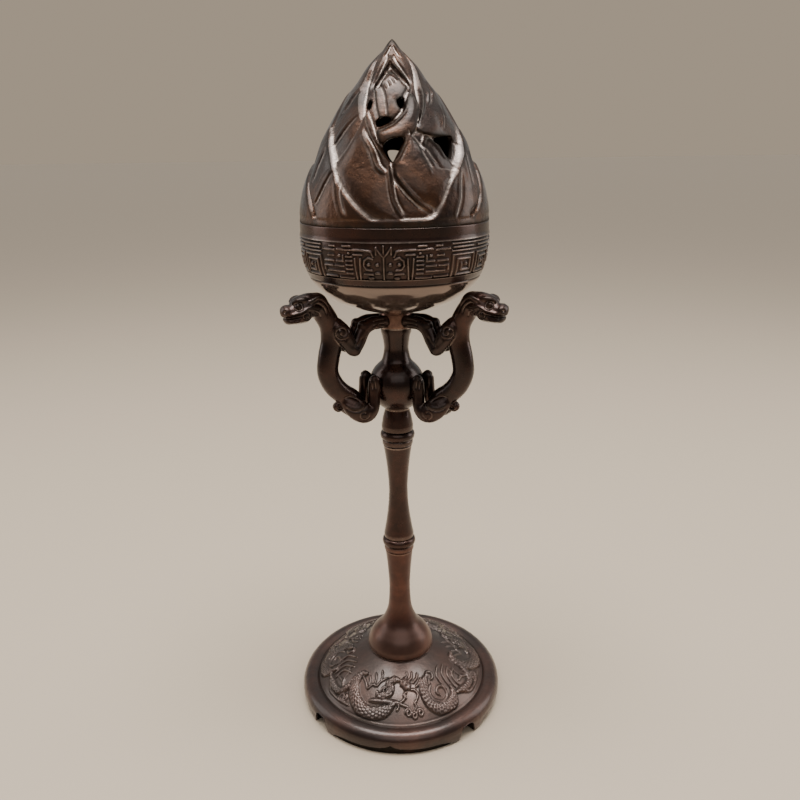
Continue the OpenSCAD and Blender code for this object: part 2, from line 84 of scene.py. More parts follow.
def spline(knots, steps=8):
    """A smooth curve through the knots, as an array of points, or the knots alone where steps is 0."""
    k = np.asarray(knots, float)
    if not steps:
        return k
    k = np.vstack([2 * k[0] - k[1], k, 2 * k[-1] - k[-2]])
    t = np.arange(steps)[:, None] / steps
    parts = []
    for a, b, c, d in zip(k, k[1:], k[2:], k[3:]):
        parts.append(0.5 * (2 * b + (c - a) * t + (2 * a - 5 * b + 4 * c - d) * t**2
                            + (3 * b - a - 3 * c + d) * t**3))
    return np.vstack(parts + [k[-2:-1]])


def taper(along, rate, start=0.0, least=0.0):
    """A share for each place along a line, falling off towards both of its ends."""
    return np.clip(rate * along + start, least, 1) * np.clip(rate * (1 - along) + start, least, 1)


def column_angles(columns):
    """Angles of columns spread evenly round the axis."""
    return np.arange(columns) * 360 / columns


def arc(centre_r, centre_z, radius, start, end, steps=12):
    """Points of an arc in a profile, between two angles in degrees."""
    a = np.radians(np.linspace(start, end, steps + 1))
    return np.stack([centre_r + radius * np.cos(a), centre_z + radius * np.sin(a)], 1)


def low_corner(r, z, radius, steps=4):
    """The rounded lower corner of a profile's outside."""
    return arc(r - radius, z + radius, radius, -90, 0, steps)


def high_corner(r, z, radius, steps=4):
    """The rounded upper corner of a profile's outside."""
    return arc(r - radius, z - radius, radius, 0, 90, steps)


def rounded(points, radius, steps=4):
    """A closed profile with each corner rounded as far as its sides allow."""
    p = np.asarray(points, float)
    out = []
    for before, corner, after in zip(np.roll(p, 1, 0), p, np.roll(p, -1, 0)):
        back, ahead = before - corner, after - corner
        reach = min(radius, 0.45 * np.linalg.norm(back), 0.45 * np.linalg.norm(ahead))
        a = corner + back / np.linalg.norm(back) * reach
        b = corner + ahead / np.linalg.norm(ahead) * reach
        for t in np.linspace(0, 1, steps + 1):
            out.append((1 - t) ** 2 * a + 2 * t * (1 - t) * corner + t**2 * b)
    return np.array(out)


def set_points(mesh, points):
    mesh.vertices.foreach_set("co", (np.asarray(points) * MM).astype(np.float32).ravel())
    mesh.update()


def make_mesh(name, points, faces):
    """A mesh from points and one array of triangles or quads."""
    mesh = bpy.data.meshes.new(name)
    faces = np.asarray(faces, np.int32)
    mesh.vertices.add(len(points))
    set_points(mesh, points)
    mesh.loops.add(faces.size)
    mesh.loops.foreach_set("vertex_index", faces.ravel())
    mesh.polygons.add(len(faces))
    mesh.polygons.foreach_set("loop_start", np.arange(0, faces.size, faces.shape[1], dtype=np.int32))
    mesh.update(calc_edges=True)
    mesh.validate()
    return mesh


def around_axis(name, r, z):
    """A mesh from maps of radius and height, closed across their columns and down their rows."""
    rows, columns = r.shape
    i, j = np.meshgrid(np.arange(rows), np.arange(columns), indexing="ij")
    below, beside = (i + 1) % rows, (j + 1) % columns
    quads = [i * columns + j, i * columns + beside, below * columns + beside, below * columns + j]
    a = np.radians(column_angles(columns))
    points = np.stack([r * np.sin(a), -r * np.cos(a), z], -1)
    return make_mesh(name, points.reshape(-1, 3), np.stack(quads, -1).reshape(-1, 4))


def revolve(name, profile, columns=160, lift=None):
    """A solid of revolution from a closed profile of radius and height, listed upward along its outside.

    Lift, a map of rows and columns, raises the surface along its normal."""
    p = np.asarray(profile, float)
    r, z = (np.repeat(values[:, None], columns, 1) for values in p.T)
    if lift is not None:
        along = np.roll(p, -1, 0) - np.roll(p, 1, 0)
        along /= np.linalg.norm(along, axis=1)[:, None]
        r, z = r + lift * along[:, 1:], z - lift * along[:, :1]
    mesh = around_axis(name, r, z)
    if p[:, 0].min() == 0:
        close_axis(mesh)
    return mesh


def close_axis(mesh):
    """Joins the points that lie together on the axis."""
    work = bmesh.new()
    work.from_mesh(mesh)
    bmesh.ops.remove_doubles(work, verts=[v for v in work.verts if v.co.xy.length < 1e-6], dist=1e-7)
    work.to_mesh(mesh)
    work.free()


def proudness_of(mesh, passes, depth, edge_share=1.0):
    """How far each point stands out of its smoothed surroundings: 0.5 is flat, 1 an edge, 0 a hollow.

    The last argument is the share by which the edges are counted, where the material gives them the worn
    colour and painted highlight."""
    links = neighbours(mesh)
    points = mesh_points(mesh)
    normal = np.empty(len(points) * 3, np.float32)
    mesh.vertex_normals.foreach_get("vector", normal)
    near = points
    for _ in range(passes):
        near = neighbour_mean(near, *links)
    proud = ((points - near) * normal.reshape(-1, 3)).sum(1)
    return 0.5 + 0.5 * np.tanh(np.where(proud > 0, edge_share * proud, proud) / depth)


def store(mesh, name, values):
    """Keeps a value for each point of a mesh, for its material."""
    mesh.attributes.new(name, "FLOAT", "POINT").data.foreach_set("value", values.astype(np.float32))


def add_object(name, data):
    thing = bpy.data.objects.new(name, data)
    bpy.context.scene.collection.objects.link(thing)
    return thing


def add_piece(mesh, material, body, slot, *nodes, sharp=38):
    """Puts a finished mesh in the scene, riding on a body and standing for CAD nodes."""
    mesh.polygons.foreach_set("use_smooth", np.ones(len(mesh.polygons), bool))
    mesh.set_sharp_from_angle(angle=math.radians(sharp))
    mesh.materials.append(material)
    piece = add_object(mesh.name, mesh)
    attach(piece, body)
    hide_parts(*nodes)


# Materials

class Nodes:
    """A short way to add and link the nodes of a material or a world."""

    def __init__(self, owner, shader="Principled BSDF"):
        owner.use_nodes = True
        self.owner = owner
        self.tree = owner.node_tree
        self.shader = self.tree.nodes[shader]

    def feed(self, socket, value):
        """Links a value to a socket, or sets it there if it is a constant."""
        if isinstance(value, bpy.types.NodeSocket):
            self.tree.links.new(value, socket)
        else:
            socket.default_value = value

    def add(self, kind, inputs=None, **settings):
        node = self.tree.nodes.new(kind)
        for key, value in settings.items():
            setattr(node, key, value)
        for key, value in (inputs or {}).items():
            self.feed(node.inputs[key], value)
        return node

    def attribute(self, name):
        return self.add("ShaderNodeAttribute", attribute_name=name).outputs["Fac"]

    def noise(self, scale, detail=4, roughness=0.55):
        coordinates = self.add("ShaderNodeTexCoord").outputs["Object"]
        node = self.add("ShaderNodeTexNoise", {"Vector": coordinates, "Scale": scale, "Detail": detail,
                                               "Roughness": roughness})
        return node.outputs["Fac"]

    def ramp(self, value, low, high, to_low=0.0, to_high=1.0):
        node = self.add("ShaderNodeMapRange", {"Value": value, "From Min": low, "From Max": high,
                                               "To Min": to_low, "To Max": to_high})
        return node.outputs["Result"]

    def math(self, operation, a, b):
        return self.add("ShaderNodeMath", {0: a, 1: b}, operation=operation).outputs["Value"]

    def mix(self, factor, a, b):
        node = self.add("ShaderNodeMix", {0: factor, 6: a, 7: b}, data_type="RGBA")
        return node.outputs[2]

    def bump(self, height, strength, distance):
        node = self.add("ShaderNodeBump", {"Height": height, "Strength": strength, "Distance": distance})
        return node.outputs["Normal"]

    def set(self, **inputs):
        for key, value in inputs.items():
            self.feed(self.shader.inputs[key.replace("_", " ")], value)


# Noises of the bronze, as cells per metre, the colour of its dust and painted shade in hollows, its share
# of painted sheen where polished, and its grain's depth in metres
CLOUDS, LUMPS, MOTTLE, PITS, GRAIN = 45, 330, 420, 900, 2600
DUST_AND_SHADE = (0.014, 0.013, 0.01, 1)
SHEEN_SHARE = 0.36
GRAIN_DEPTH = 0.0001


def bronze(name, dark, brown, worn_and_highlight, matt=0.0, grain=0.1, lumps=0.0, wax=0.4):
    """Patinated cast bronze: clouds of two browns, lighter on its edges as rubbed metal and painted
    highlight, darker in its hollows with dust and painted shade.

    Matt is added to the roughness, grain is the strength of the fine relief, lumps the share of cast
    lumps in it, and wax the weight of the gloss. The mesh's values of wear say where its edges are rubbed
    and painted with highlight and where its hollows hold dust and painted shade, and its values of polish
    say where it is polished and painted with sheen."""
    n = Nodes(bpy.data.materials.new(name))
    wear_and_painted_light, polish_and_sheen = n.attribute("wear_and_painted_light"), n.attribute("polish_and_sheen")
    clouds = n.ramp(n.noise(CLOUDS, 4, 0.6), 0.42, 0.64)
    mottle = n.noise(MOTTLE, 5, 0.65)
    skin = n.mix(clouds, (*dark, 1), (*brown, 1))
    skin = n.mix(n.ramp(mottle, 0.45, 0.75, 0, 0.5), skin, (*dark, 1))
    # Hollows darken towards the dust colour: dust and painted shade.
    hollow = n.ramp(wear_and_painted_light, 0.46, 0.2)
    skin = n.mix(n.math("MULTIPLY", hollow, n.ramp(mottle, 0.3, 0.6, 0.4, 0.9)), skin, DUST_AND_SHADE)
    # Edges lighten towards the worn colour as rubbed metal and painted highlight, and polished places
    # lighten as painted sheen.
    edge = n.math("MULTIPLY", n.ramp(wear_and_painted_light, 0.55, 0.84), n.ramp(mottle, 0.3, 0.65, 0.9, 0.35))
    edge = n.math("MAXIMUM", edge, n.math("MULTIPLY", polish_and_sheen, SHEEN_SHARE))
    skin = n.mix(edge, skin, (*worn_and_highlight, 1))
    rough = n.ramp(mottle, 0.3, 0.75, 0.24 + matt, 0.38 + matt)
    rough = n.math("ADD", rough, n.ramp(hollow, 0, 1, 0, 0.25))
    rough = n.math("MULTIPLY", rough, n.ramp(polish_and_sheen, 0, 1, 1, 0.45))
    pits = n.ramp(n.noise(PITS, 4, 0.7), 0.26, 0.36)
    height = n.math("ADD", n.math("MULTIPLY", n.noise(GRAIN, 3), 0.35), pits)
    height = n.math("ADD", height, n.math("MULTIPLY", n.noise(LUMPS, 6, 0.6), lumps))
    height = n.math("MULTIPLY", height, n.ramp(polish_and_sheen, 0, 1, 1, 0.15))
    coat = n.math("MINIMUM", n.ramp(hollow, 0, 1, wax, 0), n.ramp(edge, 0.2, 0.8, wax, 0.1))
    n.set(Base_Color=skin, Metallic=0.8, Roughness=rough, Normal=n.bump(height, grain, GRAIN_DEPTH),
          Coat_Weight=coat, Coat_Roughness=0.16 + matt)
    return n.owner


def brushed_metal(name, bright, dull, roughness, scale):
    """Bare metal with cloudy tarnish and fine scratches."""
    n = Nodes(bpy.data.materials.new(name))
    clouds = n.ramp(n.noise(scale, 5, 0.65), 0.35, 0.7)
    n.set(Base_Color=n.mix(clouds, (*bright, 1), (*dull, 1)), Metallic=0.9,
          Roughness=n.ramp(n.noise(scale * 6, 4), 0.3, 0.7, roughness - 0.08, roughness + 0.14),
          Normal=n.bump(n.noise(scale * 30, 3), 0.1, 0.00008))
    return n.owner


BRONZE = bronze("patinated_bronze", (0.02, 0.0095, 0.0075), (0.057, 0.022, 0.0145), (0.48, 0.38, 0.33))
LID_BRONZE = bronze("golden_bronze", (0.022, 0.0115, 0.0088), (0.082, 0.036, 0.0185), (0.46, 0.39, 0.35),
                    grain=0.2, lumps=36, wax=0.45)
# The base's bronze is a lighter copy, its paler browns a painted sheen of the light from above.
BASE_BRONZE = bronze("sheen_painted_bronze", (0.03, 0.0165, 0.0135), (0.074, 0.033, 0.024), (0.5, 0.4, 0.35),
                     matt=0.08, grain=0.16, lumps=16, wax=0.7)
RED_BRONZE = bronze("red_bronze", (0.055, 0.02, 0.013), (0.13, 0.045, 0.028), (0.38, 0.24, 0.18))
# The bell's bronze is redder than the rest, and lighter as painted light reflected onto it from below.
WARM_LIT_BRONZE = bronze("warm_lit_bronze", (0.05, 0.0195, 0.0135), (0.122, 0.044, 0.0285), (0.4, 0.28, 0.22),
                     matt=0.12)
STEEL = brushed_metal("zinc_steel", (0.46, 0.46, 0.45), (0.3, 0.29, 0.27), 0.4, 160)
BRASS = brushed_metal("tarnished_brass", (0.4, 0.29, 0.13), (0.2, 0.13, 0.06), 0.42, 90)


# Stem: turned sections and bead rings on the tie rod

LIP_H = 2.2
LIP_STEP = 0.4
LIP_FALL = 0.5
LOW_FILLET = 0.6
HIGH_FILLET = 0.5
BELL_H = 28
BELL = [(0.93, 0), (0.99, 0.025), (1, 0.055), (0.96, 0.13), (0.8, 0.25), (0.6, 0.34), (0.375, 0.43),
        (0.24, 0.52), (0.13, 0.62), (0.06, 0.72), (0.02, 0.86)]
BEAD_FACE = 5.3
CAP_TOP_R = 5.0
BALL_FOOT_R = 5.0
NECK_R = 4.85
NECK_TOP_R = 6.1
BALL_LOW_R = BALL_FOOT_R + 0.9
BALL_HIGH_R = NECK_R + 2.6
BELL_POLISH_AND_SHEEN = 0.12
BELL_SHEEN_TOP = BASE_TOP + 16
BELL_SHEEN_FADE = 8


# The outsides of the turned pieces, listed from bottom to top

def lip(top):
    """The small rounded lip at the upper end of a section, under a bead ring."""
    low = top - LIP_H
    return np.vstack([[[END_R - LIP_STEP, low - LIP_FALL]], low_corner(END_R, low, LOW_FILLET),
                      high_corner(END_R, top, HIGH_FILLET)])


def stem_lower():
    bottom, top = span("stem_lower")[:2]
    waist = 4.5
    reach = BELL_R - waist
    foot = spline([[waist + reach * r, bottom + BELL_H * z] for r, z in BELL])
    t = np.linspace(0.05, 1, 24)
    flare_end = top - LIP_H - LIP_FALL
    flare = np.stack([waist + (END_R - LIP_STEP - waist) * t**1.8,
                      bottom + BELL_H + (flare_end - bottom - BELL_H) * t], 1)
    return np.vstack([foot, flare, lip(top)])


def stem_middle():
    bottom, top = span("stem_middle")[:2]
    waist = 3.95
    t = np.linspace(0, 1, 48)
    low, high = bottom + 1.6, top - LIP_H - LIP_FALL
    end = np.where(t < 0.5, END_R, END_R - LIP_STEP)
    body = np.stack([waist + (end - waist) * np.abs(2 * t - 1) ** 1.75, low + (high - low) * t], 1)
    return np.vstack([low_corner(END_R, bottom, LOW_FILLET), body, lip(top)])


def bead_ring(node):
    bottom, top, radius = span(node)
    a = np.linspace(0, np.pi, 25)
    return np.stack([BEAD_FACE + (radius - BEAD_FACE) * np.sin(a) ** 0.8,
                     (bottom + top) / 2 - (top - bottom) / 2 * np.cos(a)], 1)


def stem_cap():
    bottom, top, radius = span("stem_cap")
    side = spline([[radius, bottom + 2.2], [(radius + CAP_TOP_R) / 2 + 0.1, bottom + 5.8],
                   [CAP_TOP_R + 0.1, top - 0.7], [CAP_TOP_R, top]])
    return np.vstack([low_corner(radius, bottom, 0.8, 6), side])


def neck_ball():
    low = -math.degrees(math.acos(BALL_LOW_R / BALL_R))
    high = math.degrees(math.acos(BALL_HIGH_R / BALL_R))
    shoulder = BALL_Z + BALL_R * math.sin(math.radians(high))
    rise = NECK_TOP - shoulder
    flare = [(1, 0.12), (0.2, 0.32), (0, 0.48), (0.5, 0.72), (1.1, 0.88)]
    throat = spline([[BALL_R * math.cos(math.radians(high)), shoulder],
                     *[[NECK_R + out, shoulder + rise * up] for out, up in flare],
                     [NECK_TOP_R, NECK_TOP]])
    return np.vstack([[[BALL_FOOT_R, BALL_FOOT]], arc(0, BALL_Z, BALL_R, low, high, 40), throat[1:]])


def plain_ring(node, made, fillet, columns=160):
    """A bored ring with straight sides and rounded edges."""
    bottom, top, radius = span(node)
    profile = [[BORE_R, bottom], [radius, bottom], [radius, top], [BORE_R, top]]
    return revolve(f"{node}_{made}", rounded(profile, fillet), columns)


def make_stem():
    outsides = {"stem_lower": stem_lower(), "stem_middle": stem_middle(), "stem_cap": stem_cap(),
                "ring_lower": bead_ring("ring_lower"), "ring_upper": bead_ring("ring_upper"),
                "neck_ball": neck_ball()}
    for node, outside in outsides.items():
        bore = [[BORE_R, outside[-1][1]], [BORE_R, outside[0][1]]]
        mesh = revolve(node + "_turned", np.vstack([outside, bore]))
        # Edges get the worn colour with painted highlight, hollows dust and painted shade.
        store(mesh, "wear_and_painted_light", proudness_of(mesh, passes=3, depth=0.45))
        if node == "stem_lower":
            # The bell is polished and painted with sheen towards its foot.
            height = mesh_points(mesh)[:, 2]
            store(mesh, "polish_and_sheen", BELL_POLISH_AND_SHEEN * unit((BELL_SHEEN_TOP - height) / BELL_SHEEN_FADE))
        add_piece(mesh, WARM_LIT_BRONZE if node == "stem_lower" else BRONZE, "stand", "bronze", node)
    mesh = plain_ring("collar", "turned", 0.7)
    # The collar's edges and hollows are painted the same way.
    store(mesh, "wear_and_painted_light", proudness_of(mesh, passes=3, depth=0.45))
    add_piece(mesh, RED_BRONZE, "stand", "red_bronze", "collar")


# Drawing on a surface: distances to outlines and lines, for arrays of points

def to_segment(x, y, a, b):
    """Squared distance of the points from a segment, and the share of it passed at its nearest place."""
    (ax, ay), (bx, by) = a, b
    ex, ey = bx - ax, by - ay
    t = unit(((x - ax) * ex + (y - ay) * ey) / max(ex * ex + ey * ey, 1e-9))
    return (x - ax - t * ex) ** 2 + (y - ay - t * ey) ** 2, t


def inside_distance(x, y, outline):
    """Distance of the points from a closed outline, positive inside it."""
    nearest = np.full(x.shape, 1e9)
    inside = np.zeros(x.shape, bool)
    for a, b in zip(outline, np.roll(outline, -1, 0)):
        nearest = np.minimum(nearest, to_segment(x, y, a, b)[0])
        (ax, ay), (bx, by) = a, b
        if ay != by:
            inside ^= ((ay > y) != (by > y)) & (x < (y - ay) * (bx - ax) / (by - ay) + ax)
    return np.where(inside, 1, -1) * np.sqrt(nearest)


def line_distance(x, y, line):
    """Distance of the points from an open line, signed by side, and the share of the line passed."""
    nearest = np.full(x.shape, 1e9)
    side = np.ones(x.shape)
    along = np.zeros(x.shape)
    for i, (a, b) in enumerate(zip(line, line[1:])):
        d, t = to_segment(x, y, a, b)
        closer = d < nearest
        nearest = np.where(closer, d, nearest)
        (ax, ay), (bx, by) = a, b
        side = np.where(closer, np.sign((bx - ax) * (y - ay) - (by - ay) * (x - ax)), side)
        along = np.where(closer, (i + t) / (len(line) - 1), along)
    return side * np.sqrt(nearest), along


def blurred(values, passes):
    """A map that wraps across its columns, softened by a few short passes."""
    for _ in range(passes):
        values = (np.roll(values, 1, 1) + 2 * values + np.roll(values, -1, 1)) / 4
        padded = np.pad(values, ((1, 1), (0, 0)), mode="edge")
        values = (padded[:-2] + 2 * values + padded[2:]) / 4
    return values


def solid_mesh(name, field, corner, step, smoothing):
    """A mesh of the solid where a field of distances is below zero."""
    reach = 3 * step
    grid = openvdb.FloatGrid(reach)
    grid.copyFromArray(np.clip(field, -reach, reach).astype(np.float32))
    points, _, quads = grid.convertToPolygons(isovalue=0, adaptivity=0)
    mesh = make_mesh(name, np.asarray(points, float) * step + corner, np.asarray(quads)[:, ::-1])
    smooth_mesh(mesh, smoothing)
    return mesh


def neighbours(mesh):
    """The ends of a mesh's edges, and the number of edges at each point."""
    edges = np.empty(len(mesh.edges) * 2, np.int32)
    mesh.edges.foreach_get("vertices", edges)
    a, b = edges.reshape(-1, 2).T
    count = len(mesh.vertices)
    return a, b, np.maximum(1, np.bincount(a, minlength=count) + np.bincount(b, minlength=count))


def neighbour_mean(values, a, b, degree):
    """The mean of the values at the points that share an edge with each point."""
    count = len(degree)
    total = [np.bincount(a, values[b, k], count) + np.bincount(b, values[a, k], count) for k in range(3)]
    return np.stack(total, 1) / degree[:, None]


def mesh_points(mesh):
    co = np.empty(len(mesh.vertices) * 3, np.float32)
    mesh.vertices.foreach_get("co", co)
    return co.reshape(-1, 3).astype(float) / MM


def smooth_mesh(mesh, passes):
    """Evens out the steps that a voxel field leaves, without shrinking the form."""
    links = neighbours(mesh)
    points = mesh_points(mesh)
    for share in (0.5, -0.52) * passes:
        points = points + share * (neighbour_mean(points, *links) - points)
    set_points(mesh, points)


# Lid: hills laid over each other from the summit down, pierced behind their crests

# Seat, spigot and plain strip over the seat, depth between the hills, and wall
SEAT_GAP = 0.05
LID_Z = RIM_Z + SEAT_GAP
LID_H = LID_TOP - LID_Z
SPIGOT_H = 3.5
SPIGOT_R = 31.8
SPIGOT_IN = 30.0
STRIP_H = 2.3
STRIP_FADE = 0.5
VALLEY = 2.6
LID_WALL = 2.0

# The outline that the hills reach, as shares of the lid's height and of its radius
OUTLINE = [(0, 1), (0.105, 0.98), (0.22, 0.929), (0.33, 0.846), (0.45, 0.754), (0.545, 0.651),
           (0.625, 0.56), (0.707, 0.46), (0.772, 0.36), (0.854, 0.251), (0.919, 0.137), (0.977, 0.046),
           (1, 0)]

# Map of the hills, then step of the field and its room beside the lid and beyond its ends
HILL_COLUMNS = 1440
HILL_ROWS = 410
MAP_LOW = -4.0
LID_STEP = 0.3
SIDE_ROOM = 1.2
END_ROOM = 1

# Width over which a hill swells, height below which hills are shallower, a ridge's groove as a share of its
# height and a number of its widths aside, and how far ridges may stand out
SWELL_W = 6
SHALLOW_H = 15
GROOVE_SHARE = 0.9
GROOVE_PLACE = 1.7
RIDGE_LIMIT = 0.35

# Share of the height above which the lid is solid, its inner radius there, and where holes begin
SOLID_TOP = 0.82
NO_BORE = -5
HOLES_FROM_R = 6

# Wear and painted light: bevels wider than this are rubbed bare to the worn colour with its painted
# highlight, in a skin at the outline that fades in over the strip, and recesses are darkened with painted
# shade
WIDE_BEVEL = 1.5
BARE_WEAR = 0.27
SKIN_T = 3
SKIN_FADE = 0.4
RECESS_SHADE = 0.4

# Each hill: depth of its foot and of its tip below the outline, swell of its middle, width of its sloping
# edge, and its left and right edges from foot to tip, as angles and heights above the seat. The back
# repeats the front.
HILLS = {
    "flank": (3.2, 0.2, 0.3, 0.6,
        [(62, 26), (50, 28.4), (37, 28.7), (24, 30), (21, 31.6), (24, 33.2), (29, 36), (35, 39.4),
         (39, 42.3), (43, 45.3), (52, 49.6), (61, 53.4), (76, 57.2)],
        [(118, 14), (150, 18), (158, 27), (158, 33), (151, 36), (143, 40.5), (138, 44), (131, 48),
         (130, 52), (120, 55.5), (84, 58)]),
    "flank_fold": (1.8, 0, 0.3, 0.7, [(84, 16), (82, 25), (80, 31), (82, 36), (85, 40)],
        [(112, 16), (118, 26), (112, 36), (96, 45)]),
    "summit": (1.5, 1.2, 0.2, 0.6, [(-10, 33), (-22, 42), (-26, 45.2), (-22, 47.8), (-15.5, 51.2)],
        [(20, 34), (26, 42), (30, 45.3), (22, 48.9), (12, 51.5), (-5, 54.4)]),
    "summit_crest": (0.9, 0.1, 0.3, 0.6,
        [(-3, 36), (-6, 39), (-8, 42), (-13, 44.6), (-18, 46), (-10.7, 48.8)],
        [(8, 39), (15, 42), (21, 44), (23, 45.3), (18.5, 46.5), (10, 48.6), (-3, 50.4)]),
    "fang": (0.9, 0.3, 0.3, 0.5, [(-3, 33.5), (-4.4, 36), (-4, 38.6), (-2.6, 40.6)],
        [(8, 34), (10, 37.2), (5, 39.8), (-0.8, 42.3)]),
    "tongue": (1.2, 0, 0.8, 0.6,
        [(3, 26.6), (-8, 26.4), (-12, 28.5), (-12.8, 31), (-4.7, 32.2), (1.8, 33.6), (6.6, 35.2),
         (12.4, 37.6), (17, 41)],
        [(12, 27), (20.5, 30.6), (25, 33.8), (28.4, 36.3), (29.8, 38.8), (28.6, 41.4), (22.8, 43)]),
    "foothill": (2.3, 2.3, 0.3, 0.6, [(-8, 0.5), (-5, 8), (-4, 14), (-1, 19)],
        [(36, 0.5), (28, 8), (16, 14), (0.4, 21)]),
    "left_peak": (2.0, 1.6, 1.4, 0.6,
        [(-6, 0.5), (-16, 4), (-23, 7.4), (-30, 11.2), (-38, 15.6), (-43, 20), (-40, 22.5), (-36.5, 24.4),
         (-33.3, 27.2), (-30.4, 30.6), (-28.4, 34.8)],
        [(8, 0.5), (7.2, 3.8), (4, 6.8), (1.6, 10), (0.5, 13.6), (-0.1, 17.6), (-0.8, 20.8), (-5.7, 24),
         (-10.9, 27.2), (-18.2, 32.1), (-22.3, 34.6), (-26.6, 37.3)]),
    "small_peak": (2.0, 1.4, 0.5, 0.6, [(22, 16), (22, 22), (24, 25.8), (27, 28.4)],
        [(52, 16), (46, 21), (41.3, 22.9), (38.4, 25.4), (34.2, 27.8), (30, 29.2)]),
    "right_peak": (2.0, 1.6, 1.4, 0.6,
        [(26, 1.5), (24.6, 5.8), (16.9, 8), (11.1, 11), (4.5, 15), (1.8, 17.9), (0.5, 20.6), (4.2, 23.1),
         (7.6, 25.9), (11.7, 29)],
        [(29, 3.5), (36, 9.5), (44, 15.2), (45, 17.2), (40.2, 18.4), (34.3, 18.9), (29.6, 21.4),
         (24.3, 25), (20, 27), (16.8, 29.1), (14.4, 31.3)]),
    "side_petal": (0.1, 0.1, 0.2, 1.0,
        [(50, -4), (52.4, 2.8), (58.8, 5), (66, 8.6), (72, 13.4), (80, 18)],
        [(130, -4), (128, 2.8), (121, 8.2), (115, 12.2), (108, 16), (90, 21)]),
    "left_petal": (0, 0, 0.2, 1.7,
        [(-50, -4), (-51.5, 2.8), (-58.9, 8.2), (-65.5, 12.3), (-70, 17), (-73, 24), (-76, 30)],
        [(-8, -4), (-7.6, 2.3), (-9.4, 3.2), (-15, 5.6), (-20.8, 8.4), (-27.3, 12), (-33.5, 15.2),
         (-36.2, 17.6), (-41.5, 21.2), (-48.7, 25.8), (-58, 30.4), (-74, 34.2)]),
    "right_petal": (0, 0, 0.2, 1.7,
        [(18, -4), (17.9, 2.3), (24, 4.4), (28.6, 8), (34.4, 13), (39.7, 16.3), (47.6, 19.6),
         (56.4, 23.2), (62, 26.4), (68, 30.4)],
        [(52, -4), (52.4, 2.8), (58.8, 5), (66, 8.6), (71, 13.6), (77, 22), (82, 29), (80, 34)]),
}

# Ridges chased along the hills' edges and into their faces, each with a groove on the left of its line:
# height, width, and the line
FOLDS = [
    (0.8, 0.75, [(-26.6, 36.4), (-22.8, 33.8), (-18.9, 31.3), (-11.8, 26.4), (-6.6, 23.2), (-1.8, 20.2)]),
    (0.9, 0.75, [(-24.5, 30.8), (-18.9, 27.6), (-14.1, 24.7), (-9.6, 19.9), (-6, 17.9), (-3.5, 16.9)]),
    (0.8, 0.7, [(-1.2, 19.8), (-0.8, 16), (0, 12), (1.4, 8.4), (4, 5.4), (6.6, 3.2)]),
    (0.7, 0.6, [(1.4, 19.8), (5, 22), (8.2, 24.8), (11.9, 28), (14.2, 30.2)]),
    (0.8, 0.7, [(24.6, 4.6), (17.6, 7.4), (12, 10.4), (6.4, 14), (3.2, 16.6), (1.6, 19.4)]),
    (0.45, 0.6, [(15.5, 29.4), (19, 27), (23.6, 24.6), (28.6, 21), (33.4, 18.2)]),
    (0.5, 0.7, [(18.1, 27.4), (21.1, 23.3), (24, 19.7), (26.5, 16.8)]),
    (0.5, 0.6,
        [(24.6, 25.2), (27.4, 27.6), (30, 28.2), (33.6, 27), (37.4, 24.8), (40.4, 22.4), (44, 20.8)]),
    (0.9, 0.6, [(-5, 53.6), (-15, 50.4), (-21.4, 47), (-25, 44.6)]),
    (1.1, 0.8, [(28.6, 44.9), (21.4, 48.2), (12, 50.8), (-4.6, 53.6)]),
    (0.7, 0.55, [(-15, 45.9), (-10.4, 47.9), (-3, 49.5), (9.6, 47.8), (18, 45.8)]),
    (1.2, 0.8, [(-27, 43.4), (-23.4, 46), (-17, 50), (-8, 53.8), (0, 55.6)]),
    (1.2, 0.8, [(-10, 55.6), (-2, 54.2), (14, 50.8), (24, 47.8), (30, 44.4)]),
    (0.35, 0.35, [(-10.5, 46.4), (-6.5, 45.2), (-5.4, 44.2)]),
    (0.35, 0.35, [(-6, 47.4), (-1.5, 46.1), (-0.4, 45)]),
    (0.35, 0.35, [(-0.5, 48), (3.5, 46.7), (4.6, 45.6)]),
    (0.6, 0.5, [(18, 41.4), (23, 42.2), (27.6, 40.8), (29, 38.4), (27.6, 35.8)]),
    (0.5, 0.5, [(-20, 60), (-30, 57.6), (-38, 54.6)]),
    (0.5, 0.5, [(40, 54.6), (32, 57.6), (22, 60)]),
    (0.65, 0.55, [(-11, 30.6), (-4.6, 31.6), (2, 33), (7, 34.5), (13, 37), (18, 40.4)]),
    (0.6, 0.6, [(-50.2, 51.5), (-50, 47.7), (-42.4, 43.8), (-37.8, 40.4), (-29.6, 35.3)]),
    (0.6, 0.6, [(24.6, 32.8), (29.6, 35.7), (35.8, 39), (39.6, 42), (43.4, 45), (52.8, 49.4)]),
    (0.8, 0.7, [(-35.5, 16.6), (-34.4, 12.7), (-32.3, 8.7), (-30, 5.5), (-27.4, 3)]),
    (0.5, 0.8, [(-42, 19.5), (-46, 14.7), (-49.8, 10.1), (-53.1, 7.6)]),
    (0.5, 0.8, [(-57, 27), (-61, 20), (-60, 13.5)]),
    (0.8, 0.7, [(48.6, 18.8), (45.2, 14.2), (42.3, 9.3), (39.1, 5.7), (36.5, 2.9)]),
    (0.5, 0.7, [(62, 24.5), (58.5, 18), (55, 12)]),
    (0.5, 0.7, [(71, 25), (67, 18), (62, 11)]),
    (0.4, 0.7, [(56, 44.4), (48, 41.2), (42.5, 39)]),
    (0.4, 0.7, [(63, 39.5), (57.8, 35.3), (47.2, 31)]),
    (0.4, 0.8, [(72, 48), (64, 44.5), (58, 41)]),
    (0.4, 0.8, [(141, 36), (133, 31), (127, 25)]),
    (0.4, 0.8, [(128, 46), (122, 41), (118, 35)]),
]

